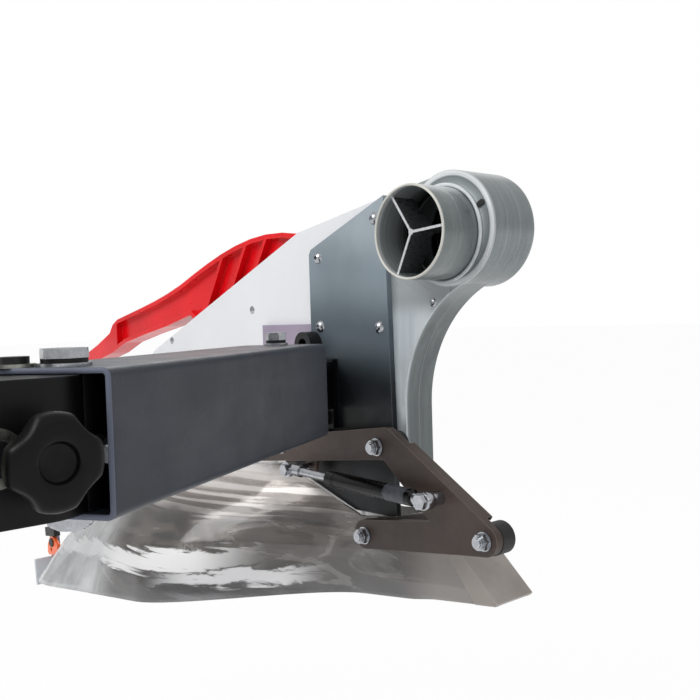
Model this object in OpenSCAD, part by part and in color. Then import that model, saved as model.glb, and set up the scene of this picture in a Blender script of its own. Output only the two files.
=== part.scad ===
// Overhead saw guard of a sliding table saw: support arm, swivelling boom and suction guard with a clear hood.
// Origin: centre of the arm's base flange face. The arm runs along +Y, +X is the outfeed side, +Z is up.

/* [Support arm] */
// Distance from the base flange face to the near swivel axis
arm_len = 260; // [200:5:400]
// Width of the support arm
arm_w = 72; // [66:1:73]
// Wall of the support arm's box section
arm_wall = 5; // [4:0.5:8]
// Width and height of the square base flange
flange_w = 140; // [130:5:180]
// Thickness of the base flange
flange_t = 12; // [8:1:16]
// Distance between the bolt holes of the base flange
flange_pitch = 104; // [98:1:108]
// Diameter of the base flange's bolt holes
flange_bore = 11; // [9:0.5:13]

/* [Boom] */
// Outside height and width of the square boom tube
boom_w = 80; // [78:1:90]
// Wall of the boom tube
boom_wall = 3; // [2.5:0.5:4]
// Distance between the two swivel axes
boom_pitch = 300; // [240:5:400]
// Distance from the near swivel axis to the boom's open near end
near_overhang = 18; // [18:1:24]
// Distance from the far swivel axis to the boom's far end
far_overhang = 15; // [14:1:20]
// Angle between the boom and the support arm as drawn
boom_skew = 30; // [15:1:45]
// Length of the window in the left web that lets the arm swing
window_len = 58; // [54:1:70]
// Running gap between the arm or the head and the boom's flanges
swivel_gap = 0.5; // [0.3:0.1:1]

/* [Swivel bolts] */
// Shank diameter of the near swivel bolt
near_d = 16; // [14:1:17]
// Shank diameter of the far swivel bolt
far_d = 10; // [10:1:12]
// Running clearance of a shank in its bush, on the radius
run_fit = 0.05; // [0.03:0.01:0.1]

/* [Guard head] */
// Distance from the far swivel axis to the mounting plate's face
head_reach = 110; // [105:1:130]
// Thickness of the dark mounting plate
plate_t = 6; // [5:0.5:8]
// Thickness of the white side plates
side_t = 4; // [3:0.5:5]
// Width of the guard over its two white side plates
guard_w = 35; // [32:1:40]
// Wall of the suction duct
duct_wall = 3; // [2.5:0.5:4]

/* [Suction port] */
// Outside diameter of the suction port
port_d = 80; // [70:1:90]
// Wall of the suction port
port_wall = 2; // [1.5:0.25:3]
// Length of the port collar in front of the duct
port_len = 44; // [35:1:60]
// Outside diameter of the duct's barrel
barrel_d = 100; // [96:1:106]
// Length of the duct's barrel
barrel_len = 60; // [52:1:75]
// Height of the port's axis above the boom's axis
port_z = 132; // [126:1:140]
// Distance of the port's axis behind the far swivel axis
port_x = 92; // [86:1:100]

/* [Hood carrier] */
// Thickness of the carrier plate
carrier_t = 8; // [6:0.5:10]
// Length of the black spacers between the carrier and the guard
spacer_len = 15; // [14:0.5:20]
// Diameter of the black spacers
spacer_d = 27; // [22:0.5:28]
// Thread diameter of the carrier's bolts
pin_d = 8; // [6:1:8]
// Distance between the two hood bolts
hood_pitch = 143; // [130:1:150]
// Tilt of the carrier and the hood as drawn, front end down
hood_tilt = 7; // [0:0.5:10]

/* [Clear hood] */
// Thickness of the clear hood
hood_t = 3; // [2.5:0.5:4]
// Half width of the hood beside the duct
tail_half = 28.5; // [28:0.5:29]
// Half width of the hood at its widest
dome_half = 150; // [120:5:170]
// Depth of the hood's rim below the hinge axis
rim_drop = 140; // [125:1:170]
// Length of the hood in front of the hinge axis
hood_front = 625; // [600:5:700]

/* [Gas spring] */
// Outside diameter of the gas spring's cylinder
cyl_d = 18; // [15:0.5:20]
// Diameter of the gas spring's rod
rod_d = 8; // [6:0.5:8]
// Length of the gas spring's cylinder
cyl_len = 100; // [90:1:104]

/* [Star knob] */
// Diameter over the knob's lobes
knob_d = 49; // [44:1:50]
// Number of lobes on the knob
knob_lobes = 4; // [4:1:7]
// Thread diameter of the knob's stud
knob_stud_d = 10; // [8:1:12]

/* [Hidden] */

// Shared places, in the frame of the base flange
boom_half = boom_w / 2;
boom_in = boom_half - boom_wall;
arm_half_h = boom_in - swivel_gap;
near_axis = [0, arm_len];
far_axis = near_axis + boom_pitch * [-sin(boom_skew), cos(boom_skew)];
boom_len = near_overhang + boom_pitch + far_overhang;
flat_fit = 0.02;

// Washers and heads of the swivel bolts
near_af = near_d * 1.5;
near_head_h = 5.5;
near_nut_h = 6.5;
disc_h = 2.5;
washer_t = 2;
far_af = far_d * 1.6;
far_head_h = 6.5;
near_bush_wall = 3;
far_bush_wall = 2;

// Places in the guard head's frame, whose origin is on the far swivel axis
plate_y = head_reach;
side_y = plate_y + plate_t;
guard_mid = side_y + guard_w / 2;
far_side_y = side_y + guard_w;
hinge_x = 31;
hinge_z = -55.5;
carrier_y = plate_y - spacer_len - carrier_t;
screw_left = -71;
screw_right = 11;
neck_half = 13;
neck_low = 26;
neck_high = 20;

// Places in the carrier's frame, whose origin is on the hinge axis
hood_bolt_u = -30;
hood_bolt_w = -80.5;
front_bolt_u = -178;
front_bolt_w = 4;
spring_u = 69.5;
spring_w = -45.5;
spring_gap = 17;

// Gas spring: its fixed eye in the head's frame, and the line to its other eye
spring_y = carrier_y - spring_gap;
lug_x = -75.8;
lug_z = -84.3;
eye_x = hinge_x + spring_u * cos(hood_tilt) - spring_w * sin(hood_tilt);
eye_z = hinge_z + spring_u * sin(hood_tilt) + spring_w * cos(hood_tilt);
spring_len = norm([eye_x - lug_x, eye_z - lug_z]);
spring_angle = atan2(eye_z - lug_z, eye_x - lug_x);
eye_d = 15;
eye_w = 10;
eye_fit = 0.45;

// Colours
c_boom = [0.29, 0.31, 0.35];
c_black = [0.06, 0.06, 0.07];
c_zinc = [0.75, 0.76, 0.78];
c_plate = [0.38, 0.43, 0.46];
c_white = [0.9, 0.91, 0.93];
c_duct = [0.5, 0.53, 0.54];
c_red = [0.8, 0.03, 0.06];
c_brown = [0.24, 0.19, 0.17];
c_clear = [0.8, 0.85, 0.9];
c_bracket = [0.56, 0.57, 0.68];
c_orange = [1, 0.35, 0.1];

module at_near() { translate([near_axis[0], near_axis[1], 0]) children(); }
module at_far() { translate([far_axis[0], far_axis[1], 0]) children(); }
module in_boom() { at_near() rotate([0, 0, boom_skew]) children(); }
module in_carrier() { at_far() translate([hinge_x, 0, hinge_z]) rotate([0, -hood_tilt, 0]) children(); }
module in_spring() { at_far() translate([lug_x, spring_y, lug_z]) rotate([0, -spring_angle, 0]) children(); }
// A round bar along +Y from the given place
module bar_y(d, len) { rotate([-90, 0, 0]) cylinder(d = d, h = len, $fn = 48); }
// A flat plate drawn in X and Z, standing across Y
module plate_y_from(y, t) { translate([0, y + t, 0]) rotate([90, 0, 0]) linear_extrude(t) children(); }
module hex_prism(af, h) { cylinder(d = af / cos(30), h = h, $fn = 6); }
module ring(od, id, h) {
    difference() {
        cylinder(d = od, h = h, $fn = 64);
        translate([0, 0, -1]) cylinder(d = id, h = h + 2, $fn = 64);
    }
}
// A hexagon head whose corners are cut round, on top of z = 0
module hex_head(af, h) {
    intersection() {
        hex_prism(af, h);
        union() {
            cylinder(d = af * 1.11, h = h, $fn = 64);
            cylinder(d = af * 1.2, h = h * 0.75, $fn = 64);
        }
    }
}
// A lock nut with a round collar, on top of z = 0
module lock_nut(af, h, bore) {
    difference() {
        union() {
            hex_head(af, h * 0.62);
            cylinder(d = af * 0.94, h = h * 0.85, $fn = 64);
            cylinder(d = af * 0.8, h = h, $fn = 64);
        }
        translate([0, 0, -1]) cylinder(d = bore, h = h + 2, $fn = 48);
    }
}
// A button head with a six-point socket, its seat at z = 0
module button_head(d, h) {
    sphere_r = (d * d / 4 + h * h) / (2 * h);
    difference() {
        intersection() {
            cylinder(d = d, h = h, $fn = 64);
            translate([0, 0, h - sphere_r]) sphere(r = sphere_r, $fn = 64);
        }
        translate([0, 0, h * 0.45]) cylinder(d = d * 0.4, h = h, $fn = 6);
    }
}

// Support arm

module base_flange() {
    color(c_black) difference() {
        plate_y_from(0, flange_t) soft_square(flange_w / 2, 12);
        for (sx = [-1, 1], sz = [-1, 1])
            translate([sx * flange_pitch / 2, -1, sz * flange_pitch / 2]) bar_y(flange_bore, flange_t + 2);
    }
}

gusset_h = 22;
gusset_len = 60;
module support_arm() {
    bush_od = near_d + 2 * near_bush_wall;
    color(c_black) difference() {
        union() {
            arm_skin(arm_w / 2, -arm_half_h, arm_half_h, flange_t);
            // gussets above and below, back to the flange
            for (s = [-1, 1]) translate([-4, 0, 0]) rotate([90, 0, 90]) linear_extrude(8)
                polygon([[flange_t, s * arm_half_h], [flange_t + gusset_len, s * arm_half_h],
                         [flange_t, s * (arm_half_h + gusset_h)]]);
        }
        difference() {
            arm_skin(arm_w / 2 - arm_wall, -arm_half_h + arm_wall, arm_half_h - arm_wall, flange_t - 1);
            at_near() cylinder(d = bush_od + 10, h = boom_w, center = true, $fn = 64);
            translate([arm_w / 2 - arm_wall - 8, knob_y, knob_z]) rotate([0, 90, 0]) cylinder(d = 20, h = 9, $fn = 48);
        }
        at_near() cylinder(d = bush_od, h = boom_w, center = true, $fn = 64);
        translate([arm_w / 2 - arm_wall - 9, knob_y, knob_z]) rotate([0, 90, 0])
            cylinder(d = knob_stud_d + 2 * run_fit, h = 30, $fn = 48);
        translate([arm_w / 2 - arm_wall - 9, plug_y, plug_z]) rotate([0, 90, 0])
            cylinder(d = plug_bolt_d, h = 30, $fn = 48);
    }
}
// Plan of the arm with its round shoulder and the smaller nose round the swivel bolt, between two heights
shoulder_back = 28;
nose_less = 12;
module arm_skin(half, low, high, start) {
    translate([0, 0, low]) linear_extrude(high - low) union() {
        translate([-half, start]) square([2 * half, arm_len - shoulder_back - start]);
        translate([0, arm_len - shoulder_back]) circle(r = half, $fn = 96);
        translate(near_axis) circle(r = half - nose_less, $fn = 96);
    }
}
module near_pivot_bush() {
    color([0.55, 0.42, 0.25]) at_near() translate([0, 0, -arm_half_h])
        ring(near_d + 2 * near_bush_wall, near_d + 2 * run_fit, 2 * arm_half_h);
}

plug_y = arm_len - 53.5;
plug_z = -1;
plug_d = 18;
plug_bolt_d = 10;
plug_washer_t = 1.5;
module arm_plug_washer() {
    color(c_zinc) translate([arm_w / 2, plug_y, plug_z]) rotate([0, 90, 0]) ring(30, plug_bolt_d, plug_washer_t);
}
module arm_plug() {
    color(c_black) translate([arm_w / 2, plug_y, plug_z]) rotate([0, 90, 0]) {
        translate([0, 0, plug_washer_t]) cylinder(d = plug_d, h = 2, $fn = 64);
        translate([0, 0, -arm_wall]) cylinder(d = plug_bolt_d - 2 * flat_fit, h = arm_wall + plug_washer_t, $fn = 48);
    }
}

// Boom

boom_round = 5;
// Square tube profile made of exact arcs
module soft_square(half, r) {
    union() {
        square([2 * half, 2 * (half - r)], center = true);
        square([2 * (half - r), 2 * half], center = true);
        for (sx = [-1, 1], sy = [-1, 1]) translate([sx * (half - r), sy * (half - r)]) circle(r = r, $fn = 48);
    }
}
module boom_tube() {
    color(c_boom) in_boom() difference() {
        translate([0, boom_len - near_overhang, 0]) rotate([90, 0, 0]) linear_extrude(boom_len) difference() {
            soft_square(boom_half, boom_round);
            soft_square(boom_in, boom_round - boom_wall);
        }
        cylinder(d = near_d, h = 2 * boom_w, center = true, $fn = 64);
        translate([0, boom_pitch, 0]) cylinder(d = far_d, h = 2 * boom_w, center = true, $fn = 64);
        // window for the arm in the left web
        translate([-boom_half - 1, -near_overhang - 1, -boom_in]) cube([boom_wall + 3, window_len + 1, 2 * boom_in]);
        translate([cap_w, cap_s, boom_in - 1]) cylinder(d = cap_bolt_d, h = boom_wall + 2, $fn = 48);
    }
}
// Black cap and its washer on the boom's top flange
cap_s = 10 - near_overhang;
cap_w = -27;
cap_bolt_d = 8;
cap_washer_t = 2;
module boom_cap_washer() {
    color(c_zinc) in_boom() translate([cap_w, cap_s, boom_half]) ring(24, cap_bolt_d, cap_washer_t);
}
module boom_cap() {
    color(c_black) in_boom() translate([cap_w, cap_s, 0]) {
        translate([0, 0, boom_half + cap_washer_t]) cylinder(d = 17, h = 4, $fn = 64);
        translate([0, 0, boom_in]) cylinder(d = cap_bolt_d - 2 * flat_fit, h = boom_wall + cap_washer_t, $fn = 48);
    }
}
module near_pivot_bolt() {
    top = boom_half + washer_t + disc_h;
    low = boom_half + washer_t + near_nut_h + 1;
    color(c_zinc) in_boom() {
        translate([0, 0, top]) rotate([0, 0, 15]) hex_head(near_af, near_head_h);
        translate([0, 0, -low]) cylinder(d = near_d - 2 * flat_fit, h = low + top, $fn = 64);
    }
}
module near_disc_spring() {
    color(c_black) in_boom() translate([0, 0, boom_half + washer_t]) ring(near_af + 1.5, near_d, disc_h);
}
module near_pivot_washers() {
    color(c_zinc) in_boom() {
        translate([0, 0, boom_half]) ring(near_af + 6, near_d, washer_t);
        translate([0, 0, -boom_half - washer_t]) ring(near_af + 6, near_d, washer_t);
    }
}
module near_pivot_nut() {
    color(c_zinc) in_boom() translate([0, 0, -boom_half - washer_t]) mirror([0, 0, 1])
        lock_nut(near_af, near_nut_h, near_d);
}
stop_d = 10;
stop_z = -5;
stop_s = 8 - near_overhang;
stop_nut_h = 5;
// The stop's head stays clear of the arm's round shoulder
stop_reach = 48 - arm_w / 2;
module stop_screw() {
    color(c_zinc) in_boom() translate([boom_in - stop_reach, stop_s, stop_z]) rotate([0, 90, 0]) {
        hex_head(16, stop_reach - stop_nut_h - 1);
        cylinder(d = stop_d - 2 * flat_fit, h = stop_reach - 0.1, $fn = 48);
    }
}
module stop_lock_nut() {
    color(c_zinc) in_boom() translate([boom_in - stop_nut_h, stop_s, stop_z]) rotate([0, 90, 0]) difference() {
        hex_head(16, stop_nut_h);
        translate([0, 0, -1]) cylinder(d = stop_d, h = stop_nut_h + 2, $fn = 48);
    }
}
module far_pivot_bolt() {
    top = boom_half + washer_t + disc_h;
    low = boom_half + washer_t + far_d * 0.8 + 3;
    color(c_zinc) in_boom() translate([0, boom_pitch, 0]) {
        translate([0, 0, top]) rotate([0, 0, 10]) hex_head(far_af, far_head_h);
        translate([0, 0, -low]) cylinder(d = far_d - 2 * flat_fit, h = low + top, $fn = 64);
    }
}
module far_disc_spring() {
    color(c_black) in_boom() translate([0, boom_pitch, boom_half + washer_t]) ring(far_af + 1, far_d, disc_h);
}
module far_pivot_washers() {
    color(c_zinc) in_boom() translate([0, boom_pitch, 0]) {
        translate([0, 0, boom_half]) ring(far_af + 4, far_d, washer_t);
        translate([0, 0, -boom_half - washer_t]) ring(far_af + 4, far_d, washer_t);
    }
}
module far_pivot_nut() {
    color(c_zinc) in_boom() translate([0, boom_pitch, -boom_half - washer_t]) mirror([0, 0, 1])
        lock_nut(far_af, far_d * 0.8, far_d);
}

// Star knob that clamps the near swivel

knob_y = arm_len - 33;
knob_z = -3;
knob_gap = 6;
knob_h = 22;
knob_pocket = 20;
module star_knob() {
    root = knob_d * 0.36;
    dent = knob_d * 0.2;
    color(c_black) translate([arm_w / 2 + knob_gap, knob_y, knob_z]) rotate([0, 90, 0]) difference() {
        union() {
            cylinder(d = knob_d * 0.42, h = 8, $fn = 64);
            translate([0, 0, 7]) cylinder(d1 = knob_d * 0.5, d2 = knob_d, h = 5, $fn = 64);
            translate([0, 0, 12]) cylinder(d = knob_d, h = knob_h - 16, $fn = 64);
            translate([0, 0, knob_h - 4]) cylinder(d1 = knob_d, d2 = knob_d * 0.8, h = 4, $fn = 64);
        }
        for (i = [0 : knob_lobes - 1]) rotate([0, 0, (i + 0.5) * 360 / knob_lobes])
            translate([root + dent * 1.25, 0, 6]) cylinder(r = dent, h = knob_h, $fn = 48);
        translate([0, 0, knob_h - 4]) cylinder(d = knob_pocket, h = 5, $fn = 64);
        translate([0, 0, -1]) cylinder(d = knob_stud_d - 2 * flat_fit, h = knob_h - 8, $fn = 48);
    }
}
module knob_stud() {
    color(c_zinc) translate([arm_w / 2, knob_y, knob_z]) rotate([0, 90, 0]) {
        translate([0, 0, -arm_wall - 8]) cylinder(d = knob_stud_d, h = arm_wall + 8 + knob_gap, $fn = 48);
        translate([0, 0, plug_washer_t + 2]) ring(18, knob_stud_d, knob_gap - plug_washer_t - 2);
        translate([0, 0, knob_gap]) cylinder(d = knob_stud_d - 2 * flat_fit, h = knob_h - 10, $fn = 48);
    }
}

// Guard head

head_nose = 24;
head_flange_t = 8;
head_flange_x = [-106, -46];
head_flange_z = [-46, 22];
head_screw_in = 11;
module swivel_head() {
    bush_od = far_d + 2 * far_bush_wall;
    flange_y = plate_y - head_flange_t;
    color(c_black) at_far() difference() {
        union() {
            translate([0, 0, -arm_half_h]) cylinder(r = head_nose, h = 2 * arm_half_h, $fn = 96);
            // the neck runs on in line with the boom and ends in the flange
            intersection() {
                rotate([0, 0, boom_skew]) translate([-neck_half, 0, -neck_low])
                    cube([2 * neck_half, 2 * plate_y, neck_low + neck_high]);
                translate([-2 * plate_y, -boom_w, -boom_w]) cube([4 * plate_y, boom_w + flange_y + 1, 2 * boom_w]);
            }
            translate([head_flange_x[0], flange_y, head_flange_z[0]])
                cube([head_flange_x[1] - head_flange_x[0], head_flange_t, head_flange_z[1] - head_flange_z[0]]);
        }
        cylinder(d = bush_od, h = boom_w, center = true, $fn = 64);
        for (p = head_screw_places()) translate([p[0], flange_y - 1, p[1]]) bar_y(8, head_flange_t + 2);
    }
}
function head_screw_places() = [
    [head_flange_x[0] + head_screw_in, head_flange_z[1] - head_screw_in],
    [head_flange_x[0] + head_screw_in, head_flange_z[0] + head_screw_in - 1],
    [head_flange_x[1] - head_screw_in, head_flange_z[0] + head_screw_in - 1]];
module far_pivot_bush() {
    color([0.55, 0.42, 0.25]) at_far() translate([0, 0, -arm_half_h])
        ring(far_d + 2 * far_bush_wall, far_d + 2 * run_fit, 2 * arm_half_h);
}
module head_screws() {
    color(c_zinc) at_far() for (p = head_screw_places()) translate([p[0], plate_y - head_flange_t, p[1]]) {
        bar_y(8 - 2 * flat_fit, head_flange_t + plate_t);
        rotate([90, 0, 0]) hex_head(13, 5.3);
    }
}

// Dark mounting plate: a tall plate with a cut corner, wider below the boom
plate_left = -85;
plate_top_left = 131;
plate_top_right = 173;
module plate_outline() {
    polygon([[plate_left, plate_top_left - 5], [plate_left + 3, plate_top_left],
             [hinge_x - 7, plate_top_right], [hinge_x - 1, -124], [-26, -124], [-138, -86],
             [-138, bracket_low - 2], [plate_left, bracket_low - 2]]);
}
function plate_screw_places() = [[screw_left, 122], [screw_right, 153], [screw_left + 0.5, 54], [screw_right + 3, 52]];
plate_screw_d = 6;
module mounting_plate() {
    color(c_plate) at_far() difference() {
        union() {
            plate_y_from(plate_y, plate_t) plate_outline();
            translate([hinge_x, plate_y, hinge_z]) bar_y(spacer_d - 3, plate_t);
        }
        for (p = plate_screw_places()) translate([p[0], plate_y - 1, p[1]]) bar_y(plate_screw_d, plate_t + 2);
        for (p = head_screw_places()) translate([p[0], plate_y - 1, p[1]]) bar_y(8, plate_t + 2);
        for (p = lug_screw_places()) translate([p[0], plate_y - 1, p[1]]) bar_y(6, plate_t + 2);
        translate([hinge_x, plate_y - 1, hinge_z]) bar_y(pin_d, plate_t + 2);
    }
}
module plate_screws() {
    color(c_zinc) at_far() for (p = plate_screw_places()) translate([p[0], plate_y, p[1]]) {
        bar_y(plate_screw_d - 2 * flat_fit, plate_t + side_t);
        rotate([90, 0, 0]) button_head(12, 3.6);
    }
}
bracket_left = -167;
bracket_top = 56.6;
bracket_low = 27;
function bracket_screw_places() = [for (x = [bracket_left + 14, plate_left - 18], z = [bracket_low + 14]) [x, z]];
module head_bracket() {
    color(c_bracket) at_far() difference() {
        plate_y_from(plate_y, plate_t) polygon([[bracket_left, bracket_low], [plate_left - 0.2, bracket_low],
            [plate_left - 0.2, bracket_top], [bracket_left, bracket_top]]);
        for (p = bracket_screw_places()) translate([p[0], plate_y - 1, p[1]]) bar_y(6, plate_t + 2);
        translate([buffer_x, plate_y - 1, buffer_z]) bar_y(buffer_d + 2, plate_t + 2);
    }
}
module head_bracket_screws() {
    color(c_zinc) at_far() for (p = bracket_screw_places()) translate([p[0], plate_y, p[1]]) {
        bar_y(plate_screw_d - 2 * flat_fit, plate_t + side_t);
        rotate([90, 0, 0]) button_head(12, 3.6);
    }
}
buffer_x = -81.5;
buffer_z = 36.5;
buffer_d = 25;
module swivel_buffer() {
    color(c_black) at_far() translate([buffer_x, plate_y - spacer_len, buffer_z]) difference() {
        bar_y(buffer_d, spacer_len);
        translate([0, -1, 0]) bar_y(buffer_d * 0.48, spacer_len - 2);
    }
}

// White side plates

plate_end = 20;
module side_outline() {
    polygon([[-440, 4], [-406, 28], [-110, 150.5], [plate_end, 172.5], [plate_end, -80], [-120, -84], [-400, -84],
             [-440, -52]]);
}
function side_screw_places() = [[-193, 73.5], [-364, 40], [-300, -40], [-158, -60]];
module side_plate(y) {
    plate_y_from(y, side_t) difference() {
        side_outline();
        for (p = side_screw_places()) translate(p) circle(d = 6, $fn = 48);
    }
}
module near_side_plate() {
    color(c_white) at_far() difference() {
        side_plate(side_y);
        for (p = concat(plate_screw_places(), bracket_screw_places())) translate([p[0], side_y - 1, p[1]])
            bar_y(plate_screw_d, side_t + 2);
    }
}
module far_side_plate() { color(c_white) at_far() side_plate(far_side_y - side_t); }
module distance_tubes() {
    color(c_zinc) at_far() for (p = side_screw_places()) translate([p[0], side_y + side_t, p[1]])
        difference() {
            bar_y(12, guard_w - 2 * side_t);
            translate([0, -1, 0]) bar_y(6, guard_w);
        }
}
module side_plate_screws() {
    color(c_zinc) at_far() for (p = side_screw_places(), s = [0, 1])
        translate([p[0], s == 0 ? side_y : far_side_y, p[1]]) rotate([0, 0, 180 * s]) {
            bar_y(6 - 2 * flat_fit, side_t + 12);
            rotate([90, 0, 0]) button_head(9, 1);
        }
}
strip_t = 2;
module top_strip() {
    color(c_white) at_far() plate_y_from(side_y + side_t, guard_w - 2 * side_t) {
        strip_along([-440, 4], [-406, 28], strip_t);
        strip_along([-406, 28], [-376, 40.4], strip_t);
        strip_along([-110, 150.5], [plate_end, 172.5], strip_t);
    }
}
// A band of the given thickness below the line from a to b
module strip_along(a, b, t) {
    n = [b[1] - a[1], a[0] - b[0]] / norm(b - a);
    polygon([a, b, b + t * n, a + t * n]);
}

// Suction duct of two moulded shells and the port collar

neck_left = plate_end + 0.4;
neck_right = 40;
foot_z = -76;
barrel_x = port_x + 6;
barrel_z = port_z + 4;
// The neck's hollow back edge is an arc that starts upright at bend_z and runs into the barrel
bend_z = -22;
barrel_bite = 0.5;
blend_r = (pow(neck_right - barrel_x, 2) + pow(barrel_z - bend_z, 2) - pow(barrel_d / 2 - barrel_bite, 2))
    / (2 * (barrel_d / 2 - barrel_bite - neck_right + barrel_x));
cap_seam = 24;
pad_x = 36;
pad_t = 1;
// Outline of the duct in X and Z: the barrel's disc, the neck with its hollow back edge and the foot
module duct_outline(inset) {
    left = neck_left + inset;
    union() {
        translate([barrel_x, barrel_z]) circle(d = barrel_d - 2 * inset, $fn = 128);
        difference() {
            polygon([[left, bend_z], [barrel_x + 18, bend_z], [barrel_x + 18, barrel_z - 20],
                     [barrel_x + 5, barrel_z + barrel_d / 2 - inset - 0.6], [left, 173 - inset]]);
            translate([neck_right + blend_r, bend_z]) circle(r = blend_r + inset, $fn = 128);
        }
        translate([left, foot_z + inset]) square([neck_right - neck_left - 2 * inset, bend_z - foot_z - inset]);
    }
}
module near_duct_shell() {
    color(c_duct) at_far() {
        duct_half(side_y, guard_w / 2, 0);
        plate_y_from(side_y - pad_t, pad_t + 0.5) difference() {
            intersection() {
                duct_outline(0);
                translate([pad_x, -18]) square([barrel_x - pad_x, barrel_z + 18]);
            }
            translate([port_x, port_z]) circle(d = port_d + 7, $fn = 128);
        }
    }
}
module far_duct_shell() { color(c_duct) at_far() duct_half(guard_mid, guard_w / 2, 1); }
// One half of the duct; the near half has the port's opening in its side, the far half opens into the cap
module duct_half(y, w, far) {
    difference() {
        plate_y_from(y, w) duct_outline(0);
        plate_y_from(far == 1 ? y - 1 : y + duct_wall, w - duct_wall + 1) duct_outline(duct_wall);
        // the duct opens towards the guard between the side plates
        translate([neck_left - 1, far == 1 ? y - 1 : y + duct_wall, foot_z + duct_wall])
            cube([duct_wall + 2, w - duct_wall + 1, 173 - foot_z - 3 * duct_wall]);
        if (far == 0) {
            translate([port_x, y - 1, port_z]) bar_y(port_d - 2 * port_wall, duct_wall + 2);
            // groove round the port
            translate([port_x, y - 1, port_z]) difference() {
                bar_y(port_d + 7, 2);
                translate([0, -1, 0]) bar_y(port_d - 2 * port_wall, 5);
            }
        }
        if (far == 1) translate([barrel_x, y - 1, barrel_z]) bar_y(barrel_d - 2 * duct_wall - 8, w + 2);
    }
}
// Round cap that closes the barrel on the far side
cap_round = 9;
module duct_cap() {
    len = barrel_len - guard_w;
    color(c_duct) at_far() translate([barrel_x, far_side_y, barrel_z]) rotate([-90, 0, 0]) difference() {
        union() {
            cylinder(d = barrel_d, h = len - cap_round, $fn = 128);
            translate([0, 0, len - cap_round]) cylinder(d = barrel_d - 2 * cap_round, h = cap_round, $fn = 128);
            translate([0, 0, len - cap_round]) rotate_extrude($fn = 128) translate([barrel_d / 2 - cap_round, 0])
                intersection() {
                    circle(r = cap_round, $fn = 48);
                    square(cap_round + 1);
                }
        }
        translate([0, 0, -1]) cylinder(d = barrel_d - 2 * duct_wall, h = len - cap_round + 1, $fn = 128);
        translate([0, 0, len - cap_round - 1]) cylinder(d = barrel_d - 2 * cap_round, h = cap_round - duct_wall + 1, $fn = 128);
    }
}
function duct_screw_places() = [[78, 73]];
module duct_screws() {
    color(c_zinc) at_far() for (p = duct_screw_places()) translate([p[0], side_y - pad_t, p[1]]) rotate([90, 0, 0])
        button_head(8, 1.6);
}
web_t = 2.2;
web_depth = 26;
web_in = 3;
web_turn = 4;
module port_collar() {
    in_d = port_d - 2 * port_wall;
    color(c_duct) at_far() translate([port_x, side_y + 1, port_z]) rotate([90, 0, 0]) {
        ring(port_d, in_d, port_len + 1);
        translate([0, 0, port_len + 1 - web_in - web_depth]) intersection() {
            cylinder(d = in_d + port_wall, h = web_depth, $fn = 128);
            union() {
                cylinder(d = web_t * 2.4, h = web_depth, $fn = 48);
                for (a = [0, 120, 240]) rotate([0, 0, a + web_turn]) translate([0, -web_t / 2, 0])
                    cube([in_d / 2 + port_wall + 1, web_t, web_depth]);
            }
        }
    }
}

// Red moulded front handle between the side plates

handle_w = 26;
handle_pocket = 9;
module front_handle() {
    color(c_red) at_far() difference() {
        plate_y_from(guard_mid - handle_w / 2, handle_w) handle_outline();
        for (s = [0, 1]) plate_y_from(s == 0 ? guard_mid - handle_w / 2 - 1 : guard_mid + handle_w / 2 - handle_pocket,
                                      handle_pocket + 1)
            difference() {
                offset(delta = -5) handle_outline();
                translate([-700, -40]) square([handle_tip + 745, 140]);
                for (x = [-190, -225, -265]) translate([x, 120]) rotate(-32) square([4, 130], center = true);
                for (p = handle_pin_places()) translate(p) circle(d = handle_pin_d + 8, $fn = 32);
            }
        for (p = handle_pin_places()) translate([p[0], side_y, p[1]]) bar_y(handle_pin_d, guard_w);
    }
}
handle_tip = -560;
module handle_outline() {
    polygon(concat(
        [for (t = [0 : 0.125 : 1]) curve([-112, 150], [-190, 166], [-262, 140], [-348, 108], t)],
        [for (t = [0.2 : 0.2 : 1]) curve([-348, 108], [-395, 92], [-450, 82], [-512, 69], t)],
        [[-526, 62], [-536, 50], [-573, 34], [-606, 22], [-640, 4], [-628, -6], [-590, 6], [-560, 16]],
        [for (t = [0 : 0.25 : 1]) curve([-531, 23], [-490, 46], [-400, 50], [-327, 71], t)],
        [[-300, 52], [-118, 126]]));
}
// A point on a curve with two control points
function curve(a, b, c, d, t) = pow(1 - t, 3) * a + 3 * pow(1 - t, 2) * t * b + 3 * (1 - t) * t * t * c + t * t * t * d;
function handle_pin_places() = [[-150, 122], [-255, 78]];
handle_pin_d = 8;
module handle_pins() {
    color(c_zinc) at_far() for (p = handle_pin_places()) translate([p[0], side_y + side_t, p[1]])
        bar_y(handle_pin_d - 2 * flat_fit, guard_w - 2 * side_t);
}

// Hinge of the carrier on the mounting plate

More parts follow.
